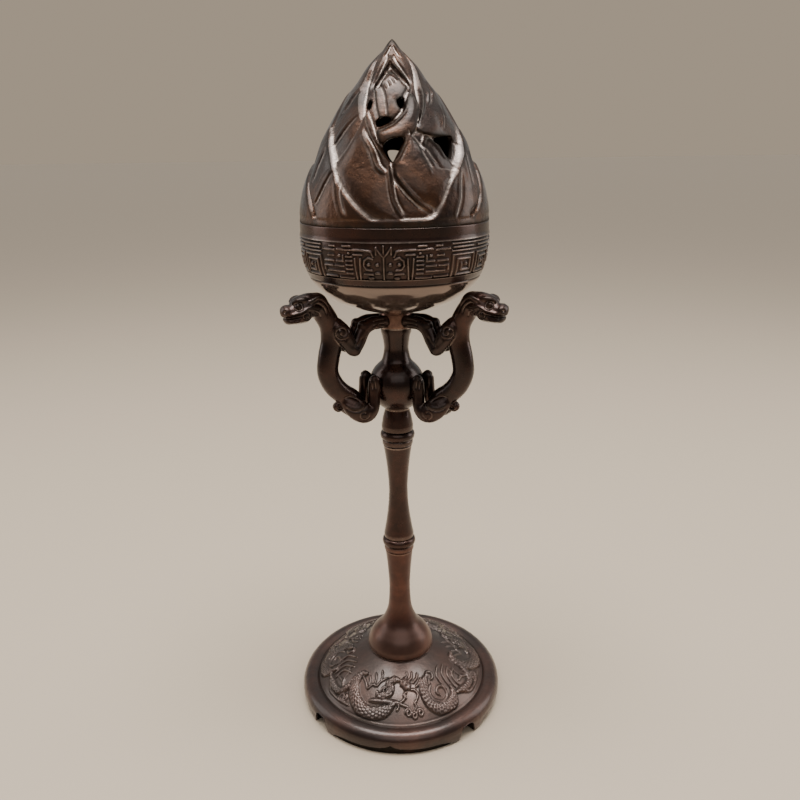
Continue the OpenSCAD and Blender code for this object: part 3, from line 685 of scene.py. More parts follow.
# Smoke holes behind the crests, as angles and heights: the front's, and the back's where they differ
LARGE_HOLE = [(-6.5, 26.2), (-1, 28), (9.9, 28.5), (8, 25.8), (3.9, 22.8), (0.4, 20.6), (-3.8, 22.9),
              (-6.2, 24.7)]
SMALL_HOLES = [
    [(37, 28.1), (46.6, 28.6), (58, 28.7), (55.5, 24.6), (49, 21.4), (44.6, 22.7), (41.3, 25.6),
     (37.4, 27.2)],
    [(-15.4, 33.5), (-10.7, 34.9), (-2.5, 34.9), (0.4, 34.2), (-5.2, 32.7), (-13.1, 31.8)],
    [(6, 40.5), (13.8, 41.2), (13.1, 38.3), (9.1, 37.8), (6.4, 39.3)],
    [(-30, 37.8), (-29.8, 39.6), (-27.1, 40.6), (-24.4, 39.7), (-24.7, 37.6)],
]
REAR_LARGE_HOLE = [(-5, 24.2), (1, 24.7), (7, 24.4), (6, 22.4), (3.6, 20.8), (0.4, 19.2), (-3, 20.6),
                   (-4.8, 22)]


class HillMap:
    """Maps over the lid's surface, with a column for each angle and a row for each height."""

    def __init__(self):
        self.angle = column_angles(HILL_COLUMNS) - 180
        self.height = np.linspace(MAP_LOW, LID_H, HILL_ROWS)
        knots = spline(OUTLINE, 10)
        self.outline = np.interp(self.height / LID_H, knots[:, 0], knots[:, 1]) * RIM_R
        self.outline = np.where(self.height < 0, RIM_R, self.outline)
        run = np.hypot(np.diff(self.height), np.diff(self.outline))
        self.length = np.concatenate([[0], np.cumsum(run)])

    def flat(self, line):
        """A line of angles and heights, laid out flat."""
        a, h = np.asarray(line, float).T
        r = np.interp(h, self.height, self.outline)
        return np.stack([np.radians(a) * r, np.interp(h, self.height, self.length)], 1)

    def window(self, line, margin):
        """The part of the map round a line: its slices and its points laid out flat.

        The margin is a height in millimetres, and three times as many degrees to each side."""
        a, h = np.asarray(line, float).T
        columns = slice(*np.searchsorted(self.angle, (a.min() - 3 * margin, a.max() + 3 * margin)))
        rows = slice(*np.searchsorted(self.height, (h.min() - margin, h.max() + margin)))
        x = np.radians(self.angle[None, columns]) * self.outline[rows, None]
        y = np.repeat(self.length[rows, None], x.shape[1], 1)
        return rows, columns, x, y

    def spread(self, rows, columns, values, empty):
        """A whole map holding the window's values at the front and at the back."""
        whole = np.full((HILL_ROWS, HILL_COLUMNS), empty, float)
        whole[rows, columns] = values
        return whole, np.roll(whole, HILL_COLUMNS // 2, 1)

    def radius(self):
        """The outer radius of the hills. Their bare bevels are noted on the way."""
        top = self.height / LID_H
        depth = VALLEY * unit(3.2 * (1 - top))
        surface = np.repeat((self.outline - depth)[:, None], HILL_COLUMNS, 1)
        shallow = 0.5 + 0.5 * unit(self.height / SHALLOW_H)
        self.bare = np.zeros(surface.shape)
        for foot, tip, swell, ramp, left, right in HILLS.values():
            edge = np.vstack([spline(left, 5), spline(right, 5)[::-1]])
            rows, columns, x, y = self.window(edge, 1.5)
            d = inside_distance(x, y, self.flat(edge))
            rise = unit(d / ramp)
            dome = 1 - (1 - unit(d / SWELL_W)) ** 2
            low, high = edge[:, 1].min(), edge[:, 1].max()
            lean = unit((high - self.height[rows]) / (high - low)) ** 1.5
            drop = (tip + (foot - tip) * lean) * shallow[rows]
            face = self.outline[rows, None] - drop[:, None] + swell * dome
            covers, faces = (self.spread(rows, columns, values, 0) for values in (rise, face))
            for cover, own in zip(covers, faces):
                surface = surface + cover * (own - surface)
                bevel = 4 * cover * (1 - cover) if ramp > WIDE_BEVEL else 0
                self.bare = self.bare * (1 - cover) + bevel
        strip = unit((STRIP_H + STRIP_FADE - self.height) / STRIP_FADE)[:, None]
        surface = surface + strip * (self.outline[:, None] - surface)
        for amount, width, line in FOLDS:
            path = spline(line, 5)
            rows, columns, x, y = self.window(path, 4)
            d, along = line_distance(x, y, self.flat(path))
            groove = np.exp(-(((d - GROOVE_PLACE * width) / width) ** 2))
            fold = np.exp(-((d / width) ** 2)) - GROOVE_SHARE * groove
            for part in self.spread(rows, columns, amount * taper(along, 4) * fold, 0):
                surface = surface + part
        return blurred(np.minimum(surface, self.outline[:, None] + RIDGE_LIMIT), 2)

    def holes(self):
        """Distance from the smoke holes, positive outside them."""
        nearest = np.full((HILL_ROWS, HILL_COLUMNS), FAR)
        front, rear = 0, 1
        holes = [(LARGE_HOLE, (front,)), (REAR_LARGE_HOLE, (rear,))]
        for outline, places in holes + [(hole, (front, rear)) for hole in SMALL_HOLES]:
            edge = spline(outline + outline[:1], 4)[:-1]
            rows, columns, x, y = self.window(edge, 3)
            parts = self.spread(rows, columns, -inside_distance(x, y, self.flat(edge)), FAR)
            for place in places:
                nearest = np.minimum(nearest, parts[place])
        return nearest

    def sample(self, values, angle, height):
        """Values of a map at given angles and heights, between its columns and rows."""
        u = (angle + 180) / 360 * HILL_COLUMNS
        v = np.clip((height - MAP_LOW) / (LID_H - MAP_LOW) * (HILL_ROWS - 1), 0, HILL_ROWS - 1.001)
        i, j = np.floor(u).astype(int), np.floor(v).astype(int)
        fu, fv = u - i, v - j
        i, k = i % HILL_COLUMNS, (i + 1) % HILL_COLUMNS
        low = values[j, i] * (1 - fu) + values[j, k] * fu
        high = values[j + 1, i] * (1 - fu) + values[j + 1, k] * fu
        return low * (1 - fv) + high * fv


def lid():
    """The hills and their spigot as a field of distances, slice by slice, then as a mesh with wear, painted
    highlight and painted shade.
    """
    hills = HillMap()
    radius, holes = hills.radius(), hills.holes()
    inner = np.minimum(SPIGOT_IN, hills.outline - VALLEY - LID_WALL)
    inner = np.where(hills.height > SOLID_TOP * LID_H, NO_BORE, inner)
    steep = 1 / np.sqrt(1 + np.gradient(hills.outline, hills.height) ** 2)
    axis = np.arange(-RIM_R - SIDE_ROOM, RIM_R + SIDE_ROOM, LID_STEP)
    x, y = np.meshgrid(axis, axis, indexing="ij")
    r = np.hypot(x, y)
    angle = np.degrees(np.arctan2(x, -y))
    heights = np.arange(-SPIGOT_H - END_ROOM, LID_H + END_ROOM, LID_STEP)
    field = np.empty((len(axis), len(axis), len(heights)), np.float32)
    for k, h in enumerate(heights):
        at = np.full(r.shape, h)
        outside = (r - hills.sample(radius, angle, at)) * np.interp(h, hills.height, steep)
        hill = np.maximum(np.maximum(outside, -h), h - LID_H)
        spigot = np.maximum(np.maximum(r - SPIGOT_R, -SPIGOT_H - h), h - STRIP_H)
        shell = np.maximum(np.minimum(hill, spigot), np.interp(h, hills.height, inner) - r)
        pierced = np.where(r > HOLES_FROM_R, -hills.sample(holes, angle, at), -FAR)
        field[:, :, k] = np.maximum(shell, pierced)
    corner = np.array([axis[0], axis[0], LID_Z + heights[0]])
    mesh = solid_mesh("hill_lid", field, corner, LID_STEP, 2)
    x, y, z = mesh_points(mesh).T
    outside = np.hypot(x, y) > np.interp(z - LID_Z, hills.height, hills.outline) - SKIN_T
    above = unit((z - LID_Z - STRIP_H) / SKIN_FADE)
    bare = hills.sample(hills.bare, np.degrees(np.arctan2(x, -y)), z - LID_Z) * outside * above
    # Edges and wide bevels take the worn colour with painted highlight, and broad recesses painted shade.
    edges = proudness_of(mesh, passes=8, depth=0.22)
    recess = unit(1 - 2 * proudness_of(mesh, passes=45, depth=0.5))
    store(mesh, "wear_and_painted_light", np.maximum(edges, 0.5 + BARE_WEAR * bare) - RECESS_SHADE * recess)
    return mesh


def make_lid():
    add_piece(lid(), LID_BRONZE, "lid", "bronze", "lid", sharp=75)


# Bowl: its outline, which the dragons also need

BAND_RISE = 17.2
BAND_Z = BOWL_Z + BAND_RISE
BAND_H = 12.6
BAND_DEPTH = 0.6
BAND_LOW_R = 33.6
BOWL_FOOT_R = 7.0


def bowl_side():
    """The bowl's outside from its foot to the lower edge of the band."""
    return spline([(BOWL_FOOT_R, 0), (8.2, 0.5), (11, 1.2), (15, 2.3), (20, 4), (25, 6.5), (29.6, 10.4),
                   (32.1, 13.6), (BAND_LOW_R, BAND_Z - BOWL_Z)], 16) + (0, BOWL_Z)


# Dragons: half of one is modelled in clay over its plane of symmetry, then mirrored and set three times

DRAGON_ANGLES = {"dragon_left": -60, "dragon_right": 60, "dragon_rear": 180}
DRAGON_STEP = 0.22
PAW_GAP = 0.1
FOREPAW_Z = 160
BOWL_GAP = 0.3
FLANK_FADE = 0.8


def soft_min(a, b, blend):
    """The smaller of two distances, with a fillet where they are alike."""
    share = unit(0.5 + 0.5 * (b - a) / blend)
    return b + (a - b) * share - blend * share * (1 - share)


def spiral(centre, start, end, turns, from_angle):
    """A line that winds round a centre from one radius to another."""
    t = np.linspace(0, 1, int(14 * abs(turns)) + 1)
    a = np.radians(from_angle + 360 * turns * t)
    r = start + (end - start) * t
    return np.stack([centre[0] + r * np.cos(a), centre[1] + r * np.sin(a)], 1)


class Clay:
    """Distances in a block of space, with axes outward, sideways and up, that forms are pressed into."""

    def __init__(self, low, high, step):
        self.step = step
        self.axes = [np.arange(a, b, step, dtype=np.float32) for a, b in zip(low, high)]
        self.field = np.full([len(axis) for axis in self.axes], FAR, np.float32)
        self.plane = np.meshgrid(self.axes[0], self.axes[2], indexing="ij")

    def points(self, where=(slice(None),) * 3):
        u, v, z = (axis[part] for axis, part in zip(self.axes, where))
        return u[:, None, None], v[None, :, None], z[None, None, :]

    def tube(self, stations, blend=0.9, steps=5):
        """A round form along stations of outward, sideways, height, half-thickness and half-width."""
        form = np.full(self.field.shape, FAR, np.float32)
        s = spline(stations, steps)
        for a, b in zip(s, s[1:]):
            reach = max(a[3], b[3], a[4], b[4]) + 1.5
            low, high = np.minimum(a, b)[:3] - reach, np.maximum(a, b)[:3] + reach
            where = tuple(slice(*np.searchsorted(axis, ends))
                          for axis, *ends in zip(self.axes, low, high))
            u, v, z = self.points(where)
            e = b[:3] - a[:3]
            t = unit(((u - a[0]) * e[0] + (v - a[1]) * e[1] + (z - a[2]) * e[2]) / (e @ e))
            thick, wide = a[3] + t * (b[3] - a[3]), a[4] + t * (b[4] - a[4])
            across = (v - a[1] - t * e[1]) * thick / wide
            d = np.sqrt((u - a[0] - t * e[0]) ** 2 + across**2 + (z - a[2] - t * e[2]) ** 2) - thick
            form[where] = np.minimum(form[where], d)
        self.field = soft_min(self.field, form, blend)

    def from_ball(self, centre, radius):
        u, v, z = self.points()
        return np.sqrt((u - centre[0]) ** 2 + (v - centre[1]) ** 2 + (z - centre[2]) ** 2) - radius

    def ball(self, centre, radius, blend=0.6):
        self.field = soft_min(self.field, self.from_ball(centre, radius), blend)

    def pit(self, centre, radius, blend=0.3):
        self.field = -soft_min(-self.field, self.from_ball(centre, radius), blend)

    def line(self, path, amount, width, side, steps=5):
        """A ridge, or a groove where the amount is negative, on the flank beyond a sideways place."""
        d, along = line_distance(*self.plane, spline(path, steps))
        mark = amount * taper(along, 6, least=0.2) * np.exp(-((d / width) ** 2))
        self.field -= mark[:, None, :] * unit((self.points()[1] - side) / FLANK_FADE + 0.5)

    def mesh(self, name, smoothing):
        """The whole form, mirrored."""
        whole = np.concatenate([self.field[:, :0:-1], self.field], 1)
        corner = np.array([self.axes[0][0], -self.axes[1][-1], self.axes[2][0]])
        return solid_mesh(name, whole, corner, self.step, smoothing)


def dragon_body(clay):
    clay.tube([(16.5, 0, 137.3, 3.2, 3.4), (20.2, 0, 141.5, 4, 3.8), (24.2, 0, 144.6, 4, 3.8),
               (27.6, 0, 148.5, 4.1, 3.8), (29.6, 0, 153.7, 4.1, 3.8), (28.9, 0, 159.7, 4.2, 3.8),
               (27.4, 0, 165.7, 4.3, 3.8), (28, 0, 171.7, 4, 3.8), (30.5, 0, 176.7, 4, 3.8),
               (32.3, 0, 179.2, 3.8, 3.8)])
    curl = spiral((26, 139.6), 2.1, 0.3, 1.35, 130)
    tail = np.vstack([[[21.5, 143.2], [23.6, 141.9]], curl])
    clay.tube([(u, 0, z, 0.8, 1.9) for u, z in tail], 0.2, 0)
    clay.line(spiral((26, 139.6), 2.5, 0.3, 1.7, 110), -0.6, 0.28, 1, 0)


def dragon_head(clay):
    clay.tube([(33, 0, 180.2, 4.3, 3.9), (36.3, 0, 179.9, 4.6, 4.4), (39.2, 0, 179.3, 4.1, 4.1)])
    clay.tube([(39.5, 0, 178.7, 3.2, 3.9), (42.4, 0, 178.6, 2.6, 3.4), (44.6, 0, 178.7, 2.2, 3)])
    clay.tube([(38.2, 0, 176, 2, 3.6), (41.5, 0, 175.9, 2.1, 3.5), (44, 0, 175.8, 1.9, 3)], 0.4)
    clay.ball((44.8, 0, 179.2), 1.7, 1)
    clay.ball((45.1, 1.6, 178.9), 1.4, 0.5)
    clay.ball((45.2, 0, 177.9), 1.5, 0.8)
    clay.ball((38.3, 2.9, 177.3), 2.2)
    clay.tube([(41.2, 0, 181.6, 1.4, 1.8), (39.4, 0, 182.4, 1.5, 2.2), (36.5, 0, 182.8, 1.5, 2.2)], 0.8)
    clay.tube([(42.2, 1.5, 181.9, 0.8, 0.9), (41, 2.3, 182.5, 1, 1), (39, 2.9, 182.7, 1, 1),
               (36.8, 3.3, 182.1, 0.7, 0.7)], 0.5)
    clay.line(spiral((41.2, 180.7), 1.4, 1.4, 1, 0), -0.4, 0.32, 1.5, 0)
    clay.ball((41.2, 3, 180.7), 1, 0.2)
    clay.tube([(38, 3.6, 181, 0.8, 0.7), (36, 4.1, 181.8, 1.3, 0.8), (34, 4.2, 182.9, 0.9, 0.6),
               (32.8, 4, 183.3, 0.3, 0.3)], 0.5)
    clay.line([(37.4, 181.2), (35.8, 181.9), (33.6, 183.1)], -0.5, 0.35, 3)
    clay.line([(47.3, 176.6), (45.3, 176.5), (43.4, 176.6), (41.2, 177), (39.4, 177.8)], -0.4, 0.26, -3)
    clay.line([(45.3, 175.3), (43.3, 174.9), (40.4, 175.2)], 0.3, 0.5, 1)
    clay.line([(45.2, 177.8), (43.4, 178), (40.5, 178.8), (37.4, 180.1), (34.1, 179.6), (32.3, 178.9)],
              0.8, 0.6, 1.5)
    clay.line(spiral((38.5, 177.2), 1.8, 0.3, 1.6, 120), -0.55, 0.32, 2, 0)
    clay.line([(36.4, 181), (33.6, 180.9), (31.3, 178.9), (30.3, 175.8)], -0.45, 0.4, 1)
    clay.line([(34.6, 182.6), (32, 181.8), (29.8, 179.4), (28.7, 176)], -0.45, 0.4, 1)
    clay.line([(35.6, 178.6), (33.4, 177.6), (32.4, 175.4)], -0.4, 0.4, 1)
    clay.tube([(35.2, 0, 183.6, 0.9, 0.8), (31.8, 0, 182.5, 1.3, 0.9), (29.6, 0, 180.1, 1.4, 0.9),
               (28.2, 0, 177.2, 1.4, 0.9), (26.7, 0, 174.1, 1.2, 0.8), (26.2, 0, 171.8, 0.6, 0.6)], 0.3)
    clay.pit((46.2, 2.2, 178.9), 0.6)


def dragon_legs(clay):
    clay.ball((25.4, 3.3, 169.6), 3.3)
    clay.tube([(26, 2.4, 172.3, 2.4, 1.8), (24.8, 3.9, 169.4, 3.3, 2.5), (22.6, 4.1, 165.3, 3, 2.2),
               (20.2, 3.7, 162, 2.4, 2), (17.9, 3.2, 164.6, 2.6, 2), (15.4, 2.8, 169, 2.7, 2),
               (12.2, 2.6, 170.9, 2.6, 2), (9, 2.6, 171.1, 2.5, 1.9), (6, 2.6, 171.1, 2.4, 1.9)], 0.6)
    clay.ball((19.6, 3.7, 161.7), 2)
    clay.ball((16, 2.8, 170.8), 1.8)
    clay.line(spiral((25.6, 169.6), 2.8, 0.4, 1.6, 200), -0.6, 0.4, 3.5, 0)
    clay.line([(25.2, 166.8), (23.2, 164.2), (21, 162.6)], 0.35, 0.6, 3.5)
    clay.line([(21, 163.6), (18.8, 164.2), (16.6, 167.2)], -0.35, 0.5, 3.5)
    for z in (172.3, 170.9, 169.6):
        clay.line([(12.4, z - 0.4), (10, z), (6.4, z)], -0.5, 0.3, 2.2)
    clay.tube([(22.6, 2.2, 141.1, 3.2, 2.4), (19.6, 3.8, 138.3, 4.3, 2.8), (16.4, 4.6, 136.2, 3.8, 2.8),
               (13.4, 4.7, 137.6, 2.6, 2.4), (12.5, 4.4, 141.7, 2.4, 2.1), (12.4, 4, 145.7, 2.3, 2),
               (12.3, 4, 148.4, 2.1, 1.9), (12, 4, 149.6, 1.4, 1.4)], 0.6)
    clay.tube([(10.9, 4.1, BALL_Z - 1, 1.5, 1.5), (10.7, 4.1, BALL_Z + 1.5, 1.6, 1.7),
               (10.9, 4, BALL_Z + 4, 1.4, 1.4)])
    clay.line([(25, 141.2), (22.3, 139.6), (18.6, 139.9), (16.6, 141.4)], 0.55, 0.5, 3.5)
    clay.line([(25, 140), (22.1, 138.4), (18.4, 138.6), (16, 140.2)], -0.5, 0.4, 3.5)
    clay.line([(25.4, 143.4), (22.6, 143.8), (19.6, 142.2), (18.6, 140.6)], -0.45, 0.4, 2.5)
    clay.line(spiral((18.2, 136.6), 2.6, 0.5, 1.1, 150), -0.45, 0.4, 4.5, 0)
    for u in (12.5, 13.7):
        clay.line([(u + 0.3, 150.4), (u, 147.6), (u - 0.2, 145.6)], -0.45, 0.3, 3.5)


def dragon():
    """One dragon, cut back where it meets the ball, the collar and the bowl."""
    clay = Clay((5, 0, 129.5), (48.2, 9, 187), DRAGON_STEP)
    dragon_body(clay)
    dragon_head(clay)
    dragon_legs(clay)
    u, v, z = clay.points()
    r = np.sqrt(u**2 + v**2)
    to_ball = BALL_R + PAW_GAP - np.sqrt(r**2 + (z - BALL_Z) ** 2)
    to_collar = np.where(z > FOREPAW_Z, COLLAR_R + PAW_GAP - r, -FAR)
    clay.field = np.maximum(clay.field, np.maximum(to_ball, to_collar))
    clay.field = np.maximum(clay.field, z + BOWL_GAP - np.interp(r, *bowl_side().T))
    return clay.mesh("dragon", 2)


def make_dragons():
    model = dragon()
    # Edges get the worn colour with painted highlight, hollows dust and painted shade.
    store(model, "wear_and_painted_light", proudness_of(model, passes=5, depth=0.16, edge_share=0.6))
    u, v, z = mesh_points(model).T
    for node, angle in DRAGON_ANGLES.items():
        mesh = model.copy()
        mesh.name = node + "_modelled"
        c, s = math.cos(math.radians(angle)), math.sin(math.radians(angle))
        set_points(mesh, np.stack([u * s + v * c, v * s - u * c, z], 1))
        add_piece(mesh, BRONZE, "stand", "bronze", node, sharp=70)
    bpy.data.meshes.remove(model)


# Raised lines and scaled bodies, for the relief on the base

SCALE = 1.15
SCALE_H = 0.3


def stroke(x, y, path, half_width, height, steps=4):
    """A raised line with a round back."""
    d, along = line_distance(x, y, spline(path, steps))
    return height * unit(1 - (d / (half_width * taper(along, 7, 0.35))) ** 2) ** 0.6


def scaled_body(x, y, path, half_width, height):
    """A raised round body covered with rows of scales."""
    line = spline(path, 6)
    d, along = line_distance(x, y, line)
    length = np.linalg.norm(np.diff(line, axis=0), axis=1).sum()
    body = height * unit(1 - (d / (half_width * taper(along, 4, 0.3))) ** 2) ** 0.5
    row = np.floor(along * length / SCALE)
    into = along * length / SCALE - row
    across = (d / SCALE + 0.5 * (row % 2)) % 1 - 0.5
    scale = unit(1.2 - into**2 - 4 * across**2)
    return body + SCALE_H * scale * unit(body / height * 2 - 0.4)


# Base: a domed foot with three dragons in clouds, a rolled rim and four bracket feet

BASE_COLUMNS = 900
DOME_ROWS = 86
ROLL_R = 4.4
ROLL_Z = 4.5
ROLL_C = BASE_R - ROLL_R
GROOVE_ANGLE = 128
SEAT_R = 13.7
DOME_BULGE = 1.6
BASE_WALL = 3.0
HUB_T = 6.0
FOOT_R = ROLL_C + 0.55 * ROLL_R
FOOT_T = 3.2
FOOT_H = 4.4
FOOT_LIP = 0.8
FOOT_IN_H = 2.3
SKIRT_T = 0.8
NOTCH_TURN = -49.5
BODY_H = 0.9
CURL_HALF_WIDTH = 0.42
CURL_H = 0.6
CURL_END_R = 0.35
CURL_TURNS = 1.4
CURL_FROM = 160
EYE_H = 0.45
EYE_SPREAD = 0.16
DOME_POLISH_AND_SHEEN = 0.15
DOME_SHEEN_FADE = 3

# Heights of a notch and of the skirt's lobes, by the distance round the foot from the notch or the cusp
NOTCH = [(0, 6.4), (2, 6.1), (3, 5.2), (3.6, 3.4), (4.3, 0)]
LOBES = [(0, 5), (0.6, 4.4), (1.8, 3.8), (4, 3.2), (8, 2.9), (14, 2.7), (20, 2.7), (24, 2), (26.5, 0)]

# Strength of the relief and place of its border line, by the share of the dome passed from seat to groove
RELIEF_FADE = [(0, 0), (0.03, 1), (0.94, 1), (0.97, 0)]
BORDER_PLACE = 0.965
BORDER_W = 0.007
BORDER_DEPTH = 0.12

# One third of the relief, as places to the right of the axis and in front of it: scaled bodies with their
# half-width, then lines by their half-width and height
BODIES = [
    (2.3,
        [(-14, 17.5), (-16.5, 17), (-19, 19), (-19.5, 22), (-18.8, 25.5), (-16.5, 29.5), (-12.5, 32),
         (-8, 32.6), (-4.5, 31.8), (-2, 30)]),
    (2.1,
        [(11.5, 18.5), (10.4, 21.5), (10.6, 25.5), (13, 28.8), (17, 29.6), (21.2, 27.2), (23.2, 23.5),
         (22, 20)]),
    (1.5, [(-9.5, 25.4), (-8.4, 27), (-5, 27), (-3.4, 25), (-4.4, 23), (-2, 21.6), (0.5, 22.2)]),
    (1.3, [(24, 21.5), (28.5, 17), (30.5, 12.5), (28.8, 9.6), (25, 8)]),
]
LINES = {
    (0.9, 0.7): [
        [(-12.6, 27.9), (-7.6, 28.9), (-3, 29.6), (0, 30)],
    ],
    (0.5, 0.7): [
        [(0, 30), (2, 28.8), (2.6, 27.2)], [(0, 30.2), (2.4, 30.8), (4, 31.2)],
        [(-0.4, 30.4), (-0.3, 31.6), (-1.2, 32.4)], [(16.2, 13), (15.6, 17.2), (17.2, 19.6), (20, 21.6)],
        [(18.4, 11.6), (18, 15.8), (19.6, 18.6), (22, 20.4)],
        [(20.6, 11.4), (20.3, 15.2), (21.8, 17.6), (24, 19.4)],
        [(23, 11.4), (22.4, 14.6), (23.6, 16.6), (25.6, 17.6)],
    ],
    (0.5, 0.6): [
        [(-16, 17.6), (-14.4, 20.6), (-13.5, 23.4), (-11.5, 22.4), (-9.5, 23.2), (-7.8, 21.8),
         (-4.6, 20.6)], [(4.6, 25.2), (6.4, 25.2), (7.8, 26.6), (7.2, 28.6)],
        [(3.2, 26), (1.8, 27.2), (3, 28.4)], [(3, 18.4), (3.2, 20), (2, 21.6)],
        [(5.2, 18.2), (5, 20.6), (3.6, 22.2)], [(7.6, 18.2), (7, 20.8), (5.4, 22.8)],
        [(9, 20), (8.2, 22.4), (6.8, 24)], [(25.4, 15.8), (26.8, 13.2), (27.8, 12.8)],
        [(27, 19.6), (30, 17.8), (32, 14.6)], [(30.6, 17.6), (33.2, 11.4), (34.4, 5)],
        [(-22, 14), (-24.2, 16), (-24.4, 19.4), (-22.6, 21.4)],
        [(-20.6, 11.6), (-22.4, 12.4), (-21.4, 14.6)],
    ],
    (0.45, 0.6): [
        [(-12.8, 22.6), (-12.4, 20.4), (-12.8, 18.4)], [(-10.4, 22.4), (-9.8, 20), (-10.2, 17.8)],
        [(-7.8, 21.4), (-7.2, 19.4), (-7.6, 17.4)], [(6.4, 32), (7.2, 30.8), (6.4, 29.6), (7.4, 28.6)],
    ],
    (2.0, 0.9): [
        [(0.6, 22.2), (2.2, 23), (4, 24.8)],
    ],
    (0.55, 0.6): [
        [(13.3, 21.5), (12.6, 24.6), (14.6, 27), (18.4, 26.6), (20.2, 23.8), (18.6, 21.4), (16.2, 22),
         (15.6, 24.2), (17.4, 24.8)],
    ],
    (0.55, 0.7): [
        [(10.8, 19.4), (11.4, 17.4), (13.2, 17), (14, 18.6), (13, 20.2)],
    ],
}
CURLS = [((3.9, 33), 1.5), ((6.4, 33.6), 1.4), ((8.9, 32.4), 1.5), ((-6.2, 25.2), 1.4),
         ((-24.6, 23.4), 1.6), ((32.4, 8.4), 1.3)]
EYES = [(1.6, 22.4), (2.9, 23.5)]


def dome(t):
    """The dome's profile from the seat to the groove."""
    a = math.radians(GROOVE_ANGLE)
    groove_r, groove_z = ROLL_C + ROLL_R * math.cos(a), ROLL_Z + ROLL_R * math.sin(a)
    return np.stack([SEAT_R + (groove_r - SEAT_R) * t,
                     BASE_TOP + (groove_z - BASE_TOP) * t + 4 * DOME_BULGE * t * (1 - t)], 1)


def base_relief(radius):
    """Heights of the dragons and clouds, for a row at each radius."""
    a = np.radians(column_angles(BASE_COLUMNS))
    x, y = radius[:, None] * np.sin(a), radius[:, None] * np.cos(a)
    part = np.zeros(x.shape)
    for half_width, path in BODIES:
        part = np.maximum(part, scaled_body(x, y, path, half_width, BODY_H))
    for size, paths in LINES.items():
        for path in paths:
            part = np.maximum(part, stroke(x, y, path, *size))
    for centre, size in CURLS:
        curl = spiral(centre, size, CURL_END_R, CURL_TURNS, CURL_FROM)
        part = np.maximum(part, stroke(x, y, curl, CURL_HALF_WIDTH, CURL_H, 0))
    for ex, ey in EYES:
        part += EYE_H * np.exp(-((x - ex) ** 2 + (y - ey) ** 2) / EYE_SPREAD)
    third = BASE_COLUMNS // 3
    return np.maximum(part, np.maximum(np.roll(part, third, 1), np.roll(part, -third, 1)))


def lower_edges():
    """Heights round the base of the foot's notched edge, and of the skirt's, with lobes as well."""
    a = column_angles(BASE_COLUMNS)
    from_notch = np.radians((a - NOTCH_TURN + 45) % 90 - 45) * FOOT_R
    from_cusp = np.radians((a - NOTCH_TURN) % 90 - 45) * FOOT_R
    notch = np.interp(np.abs(from_notch), *zip(*NOTCH))
    lobes = np.interp(np.abs(from_cusp), *zip(*LOBES))
    return notch, np.maximum(notch, lobes)


def base():
    """The turned base with its relief, whose lower edges are then raised to their notches and lobes."""
    t = np.linspace(1, 0, DOME_ROWS)
    top = dome(t)
    under = dome(np.linspace(0.1, 0.92, 14)) - (0, BASE_WALL)
    hub = BASE_TOP - HUB_T
    under = under[under[:, 1] < hub]
    inside = BASE_R - SKIRT_T
    skirt = spline([(inside, 0), (BASE_R - 0.4, 0.3), (BASE_R - 0.1, 2), (BASE_R, ROLL_Z)], 6)
    rim = np.vstack([[[inside, FOOT_H]], skirt[:-1], arc(ROLL_C, ROLL_Z, ROLL_R, 0, GROOVE_ANGLE, 30)])
    foot_in, foot_out = FOOT_R - FOOT_T, FOOT_R + FOOT_LIP
    foot = [[foot_in, 0], [foot_out, 0], [foot_out, FOOT_H]]
    profile = np.vstack([foot, rim, top[1:], [[8, BASE_TOP], [BORE_R, BASE_TOP], [BORE_R, hub]],
                         [[SEAT_R - BASE_WALL, hub]], under, [[foot_in, FOOT_IN_H]]])
    lift = np.zeros((len(profile), BASE_COLUMNS))
    start = len(foot) + len(rim)
    quiet = np.interp(t[1:], *zip(*RELIEF_FADE))[:, None]
    border = -BORDER_DEPTH * np.exp(-(((t[1:] - BORDER_PLACE) / BORDER_W) ** 2))[:, None]
    lift[start:start + len(top) - 1] = base_relief(top[1:, 0]) * quiet + border
    mesh = revolve("relief_base", profile, BASE_COLUMNS, lift)
    points = mesh_points(mesh).reshape(len(profile), BASE_COLUMNS, 3)
    r, z = np.hypot(points[:, :, 0], points[:, :, 1]), points[:, :, 2]
    notched, lobed = lower_edges()
    z = np.where(r > foot_in - 0.5, np.maximum(z, notched), z)
    points[:, :, 2] = np.where(r > inside - 0.1, np.maximum(z, lobed), z)
    set_points(mesh, points)
    return mesh


# Bowl band: three masks between fret patterns, each mirrored about its nose

BOWL_COLUMNS = 960
BAND_ROWS = 58
MASK_TURN = -4.6
MOUTH_R = RIM_R - 3.0
LEDGE_Z = 20.0
LEDGE_W = 3.2
BOWL_FLOOR = 4.5
BORDER_Z = 14.7
BAND_TOP = BAND_Z + BAND_H
BAND_TOP_R = 35.5
FRET_HALF_WIDTH = 0.5
FRET_SLOPE = 0.3
STUD_H = 1.25
BORDER_GROOVE = 0.35
RIM_FILLET = 0.3
BOWL_SHEEN_FADE = 0.5

# Row of the bowl's side from which every row is kept, for the border line
FINE_FROM = 96

